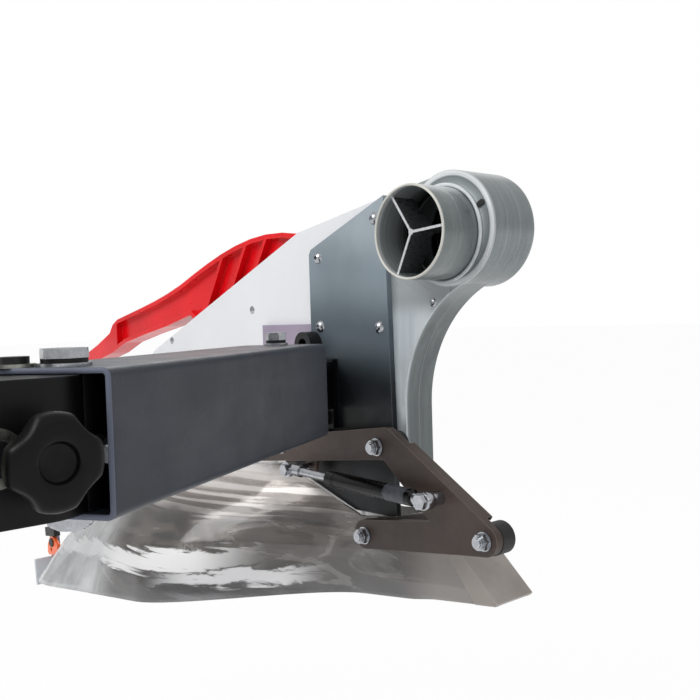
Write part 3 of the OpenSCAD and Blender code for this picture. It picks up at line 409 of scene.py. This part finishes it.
def duct_paint(name, code, light, metal, is_collar):
    """Satin grey moulding with turning streaks about the port's axis, and painted light and shade."""
    g = Graph(name)
    across, depth, up = g.split(g.minus(g.coord, PORT_AXIS))
    flat = g.join(X=across, Z=up)
    out = g.length(flat)
    near_axis = g.span(up, -0.07, -0.045)
    turned = g.noise(260.0, 3.0, 0.5, g.join(X=out, Y=depth))
    color = g.mottled(g.noise(14.0, 5.0, 0.6), code, light)
    color = g.tint(g.times(near_axis, g.span(turned, 0.35, 0.8, 0.0, 0.18)), color, "b4babb")
    color = g.tint(g.span(g.noise(900.0, 3.0, 0.7), 0.6, 0.8, 0.0, 0.18), color, "666e6f")
    # painted highlight on the top of the port tube and the barrel
    upper = g.span(g.math("DIVIDE", up, out), 0.72, 1.0, 0.0, 0.8)
    color = g.tint(g.times(upper, g.span(out, 0.0388, 0.0396)), color, "f2f5f6")
    if is_collar:
        color = collar_areas(g, color, out, depth)
    else:
        color = shell_areas(g, color, flat, out, depth, up, near_axis)
    # painted highlight along the edges
    color = g.pale_edges(color, "d0d4d2", 0.4, 0.001, 4.0)
    streaks = g.times(turned, near_axis)
    roughness = g.span(streaks, 0.3, 0.7, 0.31, 0.26)
    return g.finish(color, roughness, metal, g.bump(streaks, 0.000008), Specular_IOR_Level=0.6)


HOOD_DOWN, HOOD_MIDDLE = (0.094, 0, -1.0), (-0.168, 0.6, 0.0)
HOOD_LEAN = (0, math.radians(6), math.radians(14))
# painted reflections on the hood, as colour bands from the slot down to the rim
HOOD_REFLECTION_BANDS = ((0.083, "e0d9d4"), (0.097, "b9b0a9"), (0.108, "7d756f"), (0.128, "544f4b"), (0.15, "66605b"),
              (0.175, "4a4745"), (0.2, "545354"), (0.225, "8d8d90"))


def clear_plastic():
    """Polished clear sheet whose colour holds painted reflections: the bands and patches that such a moulding
    mirrors and shows through.
    """
    g = Graph("clear_sheet")
    ahead = g.split(g.coord)[0]
    plain = g.along(HOOD_DOWN, HOOD_MIDDLE)
    wave = g.noise(5.0, 3.0, 0.5, g.stretch((0.8, 1.0, 2.2), HOOD_LEAN), 0.8)
    smear = g.noise(34.0, 5.0, 0.65, g.stretch((0.22, 0.5, 2.6), HOOD_LEAN), 1.2)
    frayed = g.span(smear, 0.3, 0.7, -0.006, 0.006)
    low = g.plus(plain, g.span(wave, 0.25, 0.75, -0.014, 0.014))
    ragged = g.plus(low, frayed)
    color = g.ramp(ragged, 0.08, 0.26, HOOD_REFLECTION_BANDS)
    # painted reflections: thin straight light and dark lines near the slot
    lines = g.noise(60.0, 2.0, 0.5, g.stretch((0.05, 0.2, 3.0), HOOD_LEAN), 0.2)
    light_line = g.times(g.span(lines, 0.5, 0.54), g.span(low, 0.1, 0.135, 0.75, 0.0))
    color = g.tint(light_line, color, "f1ebe7")
    dark_line = g.times(g.span(lines, 0.42, 0.46, 1.0, 0.0), g.span(low, 0.1, 0.13, 0.5, 0.0))
    color = g.tint(dark_line, color, "6b5b55")
    # painted reflections: darker and lighter things that the sheet mirrors
    room = g.noise(13.0, 6.0, 0.62, g.stretch((0.55, 0.8, 1.9), HOOD_LEAN), 1.8)
    lower = g.span(low, 0.112, 0.135)
    color = g.tint(g.times(g.span(room, 0.5, 0.57, 0.0, 0.6), lower), color, "353536")
    color = g.tint(g.times(g.span(room, 0.36, 0.43, 0.38, 0.0), lower), color, "9d9996")
    # painted highlights: the bright patch along the front half's belly, and a shorter one under it
    torn = g.plus(g.plus(plain, frayed), g.span(wave, 0.25, 0.75, -0.004, 0.004))
    belly_highlight = g.times(g.band(torn, 0.157, 0.16, 0.173, 0.178), g.span(ahead, -0.33, -0.25, 1.0, 0.0))
    color = g.tint(belly_highlight, color, "fbfbfb")
    trail_highlight = g.times(g.band(torn, 0.177, 0.181, 0.19, 0.195), g.band(ahead, -0.38, -0.32, -0.25, -0.2))
    color = g.tint(g.times(trail_highlight, 0.9), color, "f4f4f6")
    # painted reflections: pale upright streaks round the nose, and a paler tail
    upright = g.noise(16.0, 3.0, 0.55, g.stretch((2.2, 2.2, 0.35)), 0.5)
    nose = g.times(g.span(ahead, -0.51, -0.43, 1.0, 0.0), g.span(upright, 0.25, 0.75, 0.5, 0.9))
    color = g.tint(nose, color, "dcdee0")
    color = g.tint(g.span(ahead, -0.12, -0.07, 0.0, 0.65), color, "b3aba5")
    alpha = g.span(ragged, 0.095, 0.125, 0.56, 0.8)
    normal = g.bump(smear, 0.0012, 0.2, g.bump(wave, 0.016, 0.25))
    return g.finish(color, 0.14, 0.15, normal, Alpha=alpha, Coat_Weight=0.5, Coat_Roughness=0.03)


M = {
    "boom": boom_paint(),
    "arm": paint("arm_black", "050506", "0a0a0b", rough=0.4, depth=0.00004, edge="454a52",
                 Specular_IOR_Level=0.22),
    "black": paint("moulded_black", "101012", "191a1c", rough=0.42, depth=0.00005, mottle=30, grain=1200),
    "rubber": paint("rubber_black", "0c0c0d", "17171a", rough=0.55, depth=0.00006, mottle=40, grain=1500),
    "zinc": steel("zinc_plate", "a6a9ae", "c0c2c6", rough=0.22),
    "zinc_warm": steel("zinc_warm", "aeb0a8", "cfd0c6", rough=0.3, stain="8d8f7c"),
    "disc": paint("black_oxide", "0e0e10", "1d1d20", rough=0.35, depth=0.00004, mottle=30, grain=800,
                  metal=0.4),
    "plate": plate_paint(),
    "bracket": paint("lavender_grey", "978b9f", "a599ab", rough=0.42, depth=0.00003, edge="c9cad6",
                     mottle=12),
    "white": white_paint(),
    "duct": duct_paint("duct_grey", "737b7d", "858d8f", metal=0.2, is_collar=False),
    "port": duct_paint("port_grey", "6b7273", "7e8586", metal=0.25, is_collar=True),
    "red": paint("handle_red", "d8000e", "f0081a", rough=0.3, depth=0.00003, edge="ff4a40", mottle=8,
                 grain=500, Specular_IOR_Level=0.35, Coat_Weight=0.25, Coat_Roughness=0.06),
    "brown": paint("carrier_brown", "3b2f2a", "483b35", rough=0.48, depth=0.00006, edge="7a6c63",
                   mottle=22, grain=1100),
    "gloss_black": paint("gloss_black", "040405", "08080a", rough=0.25, depth=0.00001, mottle=20,
                         grain=300, Specular_IOR_Level=0.25, Coat_Weight=0.12, Coat_Roughness=0.1),
    "bronze": paint("bronze", "8a6a3f", "a07c4c", rough=0.35, depth=0.00003, mottle=30, metal=0.9),
    "cover": paint("cover_grey", "9a928c", "aea6a0", rough=0.4, depth=0.00003, edge="c9c3bf", mottle=14),
    "clear": clear_plastic(),
    "knob": paint("knob_black", "030303", "060607", rough=0.45, depth=0.00005, edge="4a474c", mottle=30,
                  grain=1400, Specular_IOR_Level=0.2),
    "rim": paint("rim_cream", "cfcfc8", "dddcd4", rough=0.35, depth=0.00002, mottle=40),
    # painted highlight: the pale bead round the port's groove
    "bead": paint("bead_highlight", "c9cfd2", "dde1e3", rough=0.3, depth=0.00002, mottle=40),
    # painted shade: the dark plug in the notch
    "hollow": paint("notch_shade", "1a1c1d", "262829", rough=0.6, depth=0.00002, mottle=40),
    "band": paint("bare_band", "3a3d44", "565a63", rough=0.42, depth=0.00002, mottle=160),
    "pale": paint("pale_plate", "c3c9cf", "d2d7dc", rough=0.45, depth=0.00003, mottle=20),
    "orange": paint("latch_orange", "f55a1c", "ff7a3a", rough=0.3, depth=0.00003, edge="ffb08a",
                    mottle=30, Coat_Weight=0.4),
}

LOOK = {
    "boom": ["boom_tube"],
    "arm": ["base_flange", "support_arm", "swivel_head"],
    "black": ["arm_plug", "boom_cap", "star_knob", "hinge_spacer", "carrier_spacers", "catch_stud"],
    "rubber": ["swivel_buffer", "rear_buffer"],
    "zinc": ["near_pivot_bolt", "near_pivot_washers", "near_pivot_nut", "knob_stud", "far_pivot_bolt",
             "far_pivot_washers", "far_pivot_nut", "head_screws", "plate_screws", "head_bracket_screws",
             "side_plate_screws", "distance_tubes", "duct_screws", "handle_pins", "hinge_pin", "hinge_nut",
             "carrier_bolts", "carrier_nuts", "carrier_washers", "spring_bolt", "gas_rod", "stop_screw",
             "stop_lock_nut"],
    "zinc_warm": ["arm_plug_washer", "boom_cap_washer", "hood_mount_plate"],
    "disc": ["near_disc_spring", "far_disc_spring"],
    "plate": ["mounting_plate"],
    "bracket": ["head_bracket", "catch_bracket"],
    "white": ["near_side_plate", "far_side_plate", "top_strip"],
    "duct": ["near_duct_shell", "far_duct_shell", "duct_cap"],
    "port": ["port_collar"],
    "red": ["front_handle"],
    "brown": ["carrier_plate", "gas_spring_lug"],
    "gloss_black": ["gas_cylinder"],
    "bronze": ["near_pivot_bush", "far_pivot_bush"],
    "cover": ["rear_cover"],
    "clear": ["clear_hood"],
    "orange": ["catch_lever"],
}

# Meshes


def soften(ob, width):
    """Rounds the sharp edges of a piece with a modifier."""
    bevel = ob.modifiers.new("edge", "BEVEL")
    bevel.width = width
    bevel.segments = 2
    bevel.limit_method = "ANGLE"
    bevel.angle_limit = math.radians(35)
    bevel.harden_normals = True
    bevel.use_clamp_overlap = True


def new_object(name, mesh):
    """Turns a bmesh into an object and frees it."""
    bmesh.ops.recalc_face_normals(mesh, faces=mesh.faces)
    data = bpy.data.meshes.new(name)
    mesh.to_mesh(data)
    mesh.free()
    ob = bpy.data.objects.new(name, data)
    scene.collection.objects.link(ob)
    return ob


def grid_mesh(name, rows, closed_u=False, closed_v=False):
    """A smooth surface through rows of points, as one new object."""
    mesh = bmesh.new()
    verts = [[mesh.verts.new(p) for p in row] for row in rows]
    n, m = len(verts), len(verts[0])
    for i in range(n if closed_u else n - 1):
        this, following = verts[i], verts[(i + 1) % n]
        for j in range(m if closed_v else m - 1):
            k = (j + 1) % m
            mesh.faces.new((this[j], following[j], following[k], this[k]))
    bmesh.ops.remove_doubles(mesh, verts=mesh.verts, dist=1e-6)
    ob = new_object(name, mesh)
    for poly in ob.data.polygons:
        poly.use_smooth = True
    return ob


def circle(radius, count):
    """Points of a circle, from its first axis on."""
    turns = (2 * math.pi * k / count for k in range(count))
    return [(radius * math.cos(a), radius * math.sin(a)) for a in turns]


def smooth(x):
    x = min(1.0, max(0.0, x))
    return x * x * (3 - 2 * x)


# Clear hood: the same sweep as the source's, with a finer mesh, in the carrier's frame
TAIL_HALF, REAR_HALF, DOME_HALF = 28.5, 22.0, 150.0
TAIL_BLEND, DOME_START, DOME_RUN = 28, -58, 230
RIM_DROP, HOOD_FRONT, HOOD_T = 140.0, 625.0, 3.0
TAIL_U, REAR_TOP_U, SHOULDER_U, CROWN_U = 97.0, 31.6, -53, -166
NOSE_U = 130 - HOOD_FRONT
SLOT_W, TAIL_FALL, SLOT_FALL, SLOT_DIP = -62, 1.19, 0.1, 4
SHOULDER_RISE, CROWN_W, CROWN_SWELL, CROWN_RATE = 0.478, -12, 8, 0.6
NOSE_DEPTH, NOSE_SQUARE, NOSE_ROUND = 0.8, 0.7, 0.8
STRAIGHT_MIN, STRAIGHT_GAIN, STRAIGHT_FROM, STRAIGHT_RUN = 0.15, 0.7, -330, 200


def slot_top(u):
    """Height of the slot's edge: up the tail, level, up the shoulder and a soft swell to the nose."""
    if u > REAR_TOP_U:
        return SLOT_W - (u - REAR_TOP_U) * TAIL_FALL
    if u > SHOULDER_U:
        return SLOT_W - min(SLOT_DIP, (REAR_TOP_U - u) * SLOT_FALL)
    if u > CROWN_U:
        return SLOT_W - SLOT_DIP + (SHOULDER_U - u) * SHOULDER_RISE
    swell = math.radians(min(90, (CROWN_U - u) * CROWN_RATE))
    return CROWN_W + CROWN_SWELL * (1 - math.cos(swell))


def slot_half(u):
    return TAIL_HALF - (TAIL_HALF - REAR_HALF) * smooth(u / TAIL_BLEND)


def half_width(u):
    return slot_half(u) + (DOME_HALF - TAIL_HALF) * smooth((DOME_START - u) / DOME_RUN)


def flank_ends(u, sign):
    """The skin's upper and lower end at a station of one flank."""
    return (u, sign * slot_half(u), slot_top(u)), (u, sign * half_width(u), -RIM_DROP)


def nose_ends(turn):
    """The skin's upper and lower end at an angle round the nose."""
    sa, ca = math.sin(turn), math.cos(turn)
    upper = (NOSE_U - TAIL_HALF * NOSE_DEPTH * sa, -TAIL_HALF * ca, slot_top(NOSE_U))
    wide = -DOME_HALF * math.copysign(abs(ca) ** NOSE_SQUARE, ca)
    return upper, (NOSE_U - (HOOD_FRONT + NOSE_U) * sa ** NOSE_ROUND, wide, -RIM_DROP)


def hood_skin(upper, lower, v):
    """A point of the outer skin, from the slot (v = 0) to the rim (v = 1)."""
    f = STRAIGHT_MIN + STRAIGHT_GAIN * smooth((STRAIGHT_FROM - lower[0]) / STRAIGHT_RUN)
    a = math.radians(90 * v)
    out = (1 - f) * math.sin(a) + f * v
    down = (1 - f) * (1 - math.cos(a)) + f * v
    u, y, w = (s + (r - s) * share for s, r, share in zip(upper, lower, (out, out, down)))
    return carrier_point(u, GUARD_MID + y, w)


def clear_hood():
    flank, nose, rows = 90, 48, 30
    run = [TAIL_U + (NOSE_U - TAIL_U) * k / flank for k in range(flank + 1)]
    stations = [flank_ends(u, -1) for u in run]
    stations += [nose_ends(math.pi * k / nose) for k in range(1, nose)]
    stations += [flank_ends(u, 1) for u in reversed(run)]
    grid = [[hood_skin(upper, lower, j / rows) for j in range(rows + 1)] for upper, lower in stations]
    ob = grid_mesh("hood_skin", grid)
    shell = ob.modifiers.new("sheet", "SOLIDIFY")
    shell.thickness = HOOD_T * MM
    middle = carrier_point(-250, GUARD_MID, -90)
    face = ob.data.polygons[len(ob.data.polygons) // 4]
    outward = (face.center - middle).dot(face.normal) > 0
    shell.offset = -1.0 if outward else 1.0
    ob.data.materials.append(M["clear"])
    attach(ob, "hood_carrier")
    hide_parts("clear_hood")


# Star knob: soft lobes and a rounded recess
ARM_HALF, KNOB_COLLAR = 36, 6
KNOB_AT = Vector((ARM_HALF + KNOB_COLLAR, 227.0, -3.0))
KNOB_D, KNOB_H, KNOB_LOBES = 49.0, 22.0, 4
KNOB_EDGE, KNOB_SCALLOP, SCALLOP_HALF = 5.5, 3.6, 0.44
KNOB_STEPS = 160


def knob_radius(angle, depth):
    """Distance from the axis to the edge, with a shallow scallop between each two lobes."""
    step = 2 * math.pi / KNOB_LOBES
    off = (angle - step / 2) % step
    off = min(off, step - off)
    dip = max(0.0, 1 - (off / SCALLOP_HALF) ** 2)
    return KNOB_D / 2 - depth * dip ** 1.5


def knob_profile():
    """Rows of (radius, or share of the lobed edge, scallop depth or None, height)."""
    foot = [(10.3, None, 0.0), (10.3, None, 6.0), (11.5, None, 8.5)]
    under = [(0.74, 1.0, 9.2), (0.92, 2.2, 9.6), (0.98, 3.2, 10.6), (1.0, KNOB_SCALLOP, 12.4)]
    edge = []
    for k in range(9):
        a = math.radians(90 * k / 8)
        share = 1.0 - KNOB_EDGE * (1 - math.cos(a)) / (KNOB_D / 2)
        edge.append((share, KNOB_SCALLOP * math.cos(a * 0.92), KNOB_H - KNOB_EDGE + KNOB_EDGE * math.sin(a)))
    crown = [(0.6, 0.0, KNOB_H + 0.35), (12.2, None, KNOB_H + 0.3), (10.9, None, KNOB_H)]
    recess = [(10.1, 0.9), (9.8, 2.0), (9.4, 3.4), (8.6, 4.0), (4.0, 4.1), (0.0, 4.1)]
    return foot + under + edge + crown + [(r, None, KNOB_H - deep) for r, deep in recess]


def star_knob():
    grid = []
    for radius, depth, height in knob_profile():
        row = []
        for i in range(KNOB_STEPS):
            a = 2 * math.pi * i / KNOB_STEPS
            r = radius if depth is None else radius * knob_radius(a, depth)
            row.append((KNOB_AT + Vector((height, r * math.cos(a), r * math.sin(a)))) * MM)
        grid.append(row)
    ob = grid_mesh("knob_body", grid, closed_v=True)
    ob.data.materials.append(M["knob"])
    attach(ob, "knob")
    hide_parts("star_knob")


def ring(name, centre, radius, section, material, body):
    """A ring about an axis along Y; section is a list of (out, along) offsets."""
    grid = []
    for x, z in circle(1.0, 128):
        grid.append([centre + Vector(((radius + o) * x, y, (radius + o) * z)) * MM for o, y in section])
    ob = grid_mesh(name, grid, closed_u=True, closed_v=True)
    ob.data.materials.append(material)
    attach(ob, body)
    return ob


# Duct: the bead round the port's groove, pale as a painted highlight, the port's rolled rim and the keyhole
# notch, its hollow filled with painted shade
BEAD_R, BEAD_T, BEAD_BACK = 42.0, 1.7, 1.2
RIM_R, RIM_T, RIM_OUT = 39.1, 1.15, 44
NOTCH_OUT, NOTCH_TURN, NOTCH_HALF, NOTCH_R = 47.6, math.radians(27), 1.7, 2.6


def duct_notch(face):
    """A rounded slot at the bead's upper right, drawn as a shallow dark plug: painted shade in its hollow."""
    along = Vector((math.cos(NOTCH_TURN), 0, math.sin(NOTCH_TURN)))
    across = Vector((-math.sin(NOTCH_TURN), 0, math.cos(NOTCH_TURN)))
    centre = face + along * NOTCH_OUT * MM
    outline = []
    for x, z in circle(NOTCH_R, 32):
        outline.append((along * (x + math.copysign(NOTCH_HALF, x)) + across * z) * MM)
    rows = []
    for share, y in ((1.0, 0.4), (1.0, -0.25), (0.7, -0.3), (0.0, -0.3)):
        rows.append([centre + p * share + Vector((0, y, 0)) * MM for p in outline])
    ob = grid_mesh("duct_notch", rows, closed_v=True)
    ob.data.materials.append(M["hollow"])
    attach(ob, "guard_head")


def duct_details():
    bead = head_point(PORT_X, DUCT_FACE_Y - BEAD_BACK, PORT_Z)
    ring("port_bead", bead, BEAD_R, circle(BEAD_T, 12), M["bead"], "guard_head")
    mouth = head_point(PORT_X, DUCT_FACE_Y - RIM_OUT, PORT_Z)
    ring("port_rim", mouth, RIM_R, circle(RIM_T, 12), M["rim"], "guard_head")
    duct_notch(head_point(PORT_X, DUCT_FACE_Y - 1, PORT_Z))


# Gas cylinder: body with a groove, tail, bare band and rear eye, about the spring's line
SPRING_EYE = head_point(-75.8, 70.0, -84.3)
SPRING_TURN = math.radians(-2.49)
SPRING_LINE = Vector((math.cos(SPRING_TURN), 0, math.sin(SPRING_TURN)))
SPRING_LEN, CYL_LEN, CYL_TAIL, CYL_R = 181.5, 111.0, 13.0, 7.3
CYL_END = SPRING_LEN - CYL_TAIL
CYL_START = CYL_END - CYL_LEN
GROOVE_AT, GROOVE_DEEP = 11.2, 0.7
TAIL_R, TAIL_NECK_R, TAIL_LEN = 5.2, 4.2, 5
EYE_R, EYE_HALF = 5.9, 5.0


def spring_turning(name, profile, material):
    """A turned piece about the spring's axis; the profile is (distance from the front eye, radius)."""
    side = Vector((0, 1, 0))
    third = SPRING_LINE.cross(side)
    rows = []
    for along, r in profile:
        rows.append([SPRING_EYE + (SPRING_LINE * along + side * x + third * z) * MM for x, z in circle(r, 64)])
    ob = grid_mesh(name, rows, closed_v=True)
    ob.data.set_sharp_from_angle(angle=math.radians(40))
    ob.data.materials.append(material)
    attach(ob, "gas_cylinder")
    return ob


def gas_cylinder():
    a, b, r = CYL_START, CYL_END, CYL_R
    groove = a + GROOVE_AT
    low = r - GROOVE_DEEP
    body = [(a + 6, 3.3), (a, 3.4), (a, 4.2), (a + 0.3, r - 1.2), (a + 1.5, r),
            (groove, r), (groove + 0.5, low), (groove + 1.6, low), (groove + 2.1, r),
            (b - 1.6, r), (b - 0.3, r - 1.4), (b, r - 2.6), (b, 4.4)]
    ob = spring_turning("cylinder_body", body, M["gloss_black"])
    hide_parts("gas_cylinder")
    tail_end = b + TAIL_LEN
    eye_side = SPRING_LEN - 4
    profile = [(b - 0.5, 0), (b - 0.5, TAIL_R), (tail_end - 0.5, TAIL_R), (tail_end, TAIL_R - 0.5),
               (tail_end, TAIL_NECK_R), (eye_side, TAIL_NECK_R), (eye_side, 0)]
    tail = spring_turning("cylinder_tail", profile, M["zinc"])
    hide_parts("gas_cylinder")
    band = [(b - 32, r - 0.4), (b - 32, r + 0.08), (b - 7, r + 0.08), (b - 7, r - 0.4)]
    spring_turning("bare_band", band, M["band"])
    spot = SPRING_EYE + SPRING_LINE * SPRING_LEN * MM
    half = EYE_HALF
    section = [(-1.9, 0.5 - half), (-1.5, -half), (1.2, -half), (1.7, 0.6 - half),
               (1.7, half - 0.6), (1.2, half), (-1.5, half), (-1.9, half - 0.5)]
    eye = ring("cylinder_eye", spot, EYE_R, section, M["zinc"], "gas_cylinder")
    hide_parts("gas_cylinder")


# Catch: the bracket's pale plate, bent towards the near side below the latch
CATCH_U, CATCH_Y, CATCH_W = -633.0, GUARD_MID - 80, -104.0
CATCH_DROP, FLANGE_T, WING_OUT = 54, 4, 30


def slab(name, corners, front, back, material):
    """A plate in the carrier's frame: corners are (u, w), front and back are places along Y."""
    mesh = bmesh.new()
    sides = [[mesh.verts.new(carrier_point(u, y, w)) for u, w in corners] for y in (front, back)]
    n = len(corners)
    for i in range(n):
        k = (i + 1) % n
        mesh.faces.new((sides[0][i], sides[0][k], sides[1][k], sides[1][i]))
    mesh.faces.new(sides[0])
    mesh.faces.new(sides[1])
    ob = new_object(name, mesh)
    ob.data.materials.append(material)
    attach(ob, "hood_carrier")
    soften(ob, 0.001)
    return ob


def catch_plate():
    u, y, foot = CATCH_U, CATCH_Y, CATCH_W - CATCH_DROP
    flange = [(u - 22, foot), (u + 18, foot), (u + 18, foot + 34), (u + 4, foot + 40), (u - 22, foot + 34)]
    slab("catch_flange", flange, y, y + FLANGE_T, M["bracket"])
    wing = [(u - 10, foot), (u - 6, foot), (u - 6, foot + 35), (u - 10, foot + 35)]
    slab("catch_wing", wing, y - WING_OUT, y + 0.5, M["pale"])


# Rounded edges on the CAD solids, by the width that each real piece has
ROUND = {
    0.0006: ["support_arm", "base_flange", "mounting_plate", "head_bracket", "near_side_plate",
             "far_side_plate", "rear_cover"],
    0.0009: ["boom_tube", "carrier_plate", "gas_spring_lug", "catch_lever", "catch_bracket", "catch_stud"],
    0.0014: ["front_handle", "swivel_head", "near_duct_shell", "far_duct_shell", "duct_cap"],
    0.0005: ["port_collar", "hood_mount_plate", "swivel_buffer", "rear_buffer", "boom_cap", "arm_plug"],
}


def dress_solids():
    """Gives each CAD solid its material, its rounded edges and smooth shading."""
    for look, names in LOOK.items():
        for name in names:
            data = nodes[name].data
            data.materials.clear()
            data.materials.append(M[look])
    for width, names in ROUND.items():
        for name in names:
            soften(nodes[name], width)
    for ob in nodes.values():
        for poly in ob.data.polygons:
            poly.use_smooth = True
        ob.data.set_sharp_from_angle(angle=math.radians(32))


# Stage: pale floor, white surroundings and soft lamps
WHITE = (1, 1, 1, 1)
SKY_LOW, SKY_HIGH = 0.16, 0.72
FLOOR_AT, FLOOR_SIZE = (0, 0.4, -0.5), 60
FLOOR_GREY, FLOOR_GLOW = (0.86, 0.86, 0.86, 1), 0.95


def world():
    """White where it is seen, and a soft sky from grey to white where it lights the object."""
    w = bpy.data.worlds.new("studio")
    scene.world = w
    w.use_nodes = True
    tree = w.node_tree
    back = tree.nodes["Background"]
    path = tree.nodes.new("ShaderNodeLightPath")
    seen = tree.nodes.new("ShaderNodeMath")
    seen.operation = "MAXIMUM"
    tree.links.new(path.outputs["Is Camera Ray"], seen.inputs[0])
    tree.links.new(path.outputs["Is Transmission Ray"], seen.inputs[1])
    coord = tree.nodes.new("ShaderNodeTexCoord")
    split = tree.nodes.new("ShaderNodeSeparateXYZ")
    tree.links.new(coord.outputs["Generated"], split.inputs[0])
    sky = tree.nodes.new("ShaderNodeMapRange")
    sky.interpolation_type = "SMOOTHSTEP"
    tree.links.new(split.outputs["Z"], sky.inputs["Value"])
    for key, v in (("From Min", -0.5), ("From Max", 0.7), ("To Min", SKY_LOW), ("To Max", SKY_HIGH)):
        sky.inputs[key].default_value = v
    pick = tree.nodes.new("ShaderNodeMix")
    tree.links.new(seen.outputs[0], pick.inputs["Factor"])
    tree.links.new(sky.outputs["Result"], pick.inputs[2])
    pick.inputs[3].default_value = 1.0
    tree.links.new(pick.outputs[0], back.inputs["Strength"])
    back.inputs["Color"].default_value = WHITE


def floor():
    """A wide pale plane that glows a little where it is seen and keeps the object's shadow."""
    g = Graph("floor_pale")
    g.tree.nodes.remove(g.bsdf)
    path = g.node("ShaderNodeLightPath")
    diffuse = g.node("ShaderNodeBsdfDiffuse")
    diffuse.inputs["Color"].default_value = FLOOR_GREY
    glow = g.node("ShaderNodeEmission")
    glow.inputs["Color"].default_value = WHITE
    seen = g.math("MAXIMUM", path.outputs["Is Camera Ray"], path.outputs["Is Glossy Ray"])
    seen = g.math("MAXIMUM", seen, path.outputs["Is Transmission Ray"])
    mix = g.node("ShaderNodeMixShader")
    g.link(g.times(seen, FLOOR_GLOW), mix.inputs[0])
    g.link(diffuse.outputs[0], mix.inputs[1])
    g.link(glow.outputs[0], mix.inputs[2])
    g.link(mix.outputs[0], g.tree.nodes["Material Output"].inputs[0])
    bpy.ops.mesh.primitive_plane_add(size=FLOOR_SIZE, location=FLOOR_AT)
    plane = bpy.context.object
    plane.name = "floor"
    plane.data.materials.append(g.mat)


def lamp(name, place, target, size, power):
    data = bpy.data.lights.new(name, "AREA")
    data.size = size
    data.energy = power
    ob = bpy.data.objects.new(name, data)
    scene.collection.objects.link(ob)
    ob.location = place
    ob.rotation_euler = (Vector(target) - Vector(place)).to_track_quat("-Z", "Y").to_euler()


make_camera()
clear_hood()
star_knob()
duct_details()
gas_cylinder()
catch_plate()
dress_solids()
world()
floor()
lamp("key", place=(-0.4, -1.0, 1.3), target=(-0.15, 0.45, 0), size=1.1, power=19)
lamp("side", place=(1.7, 0.6, 0.9), target=(-0.1, 0.5, 0), size=0.9, power=1.5)
lamp("back", place=(-1.5, 1.5, 1.2), target=(-0.1, 0.6, 0), size=1.0, power=7)
scene.view_settings.view_transform = "Standard"
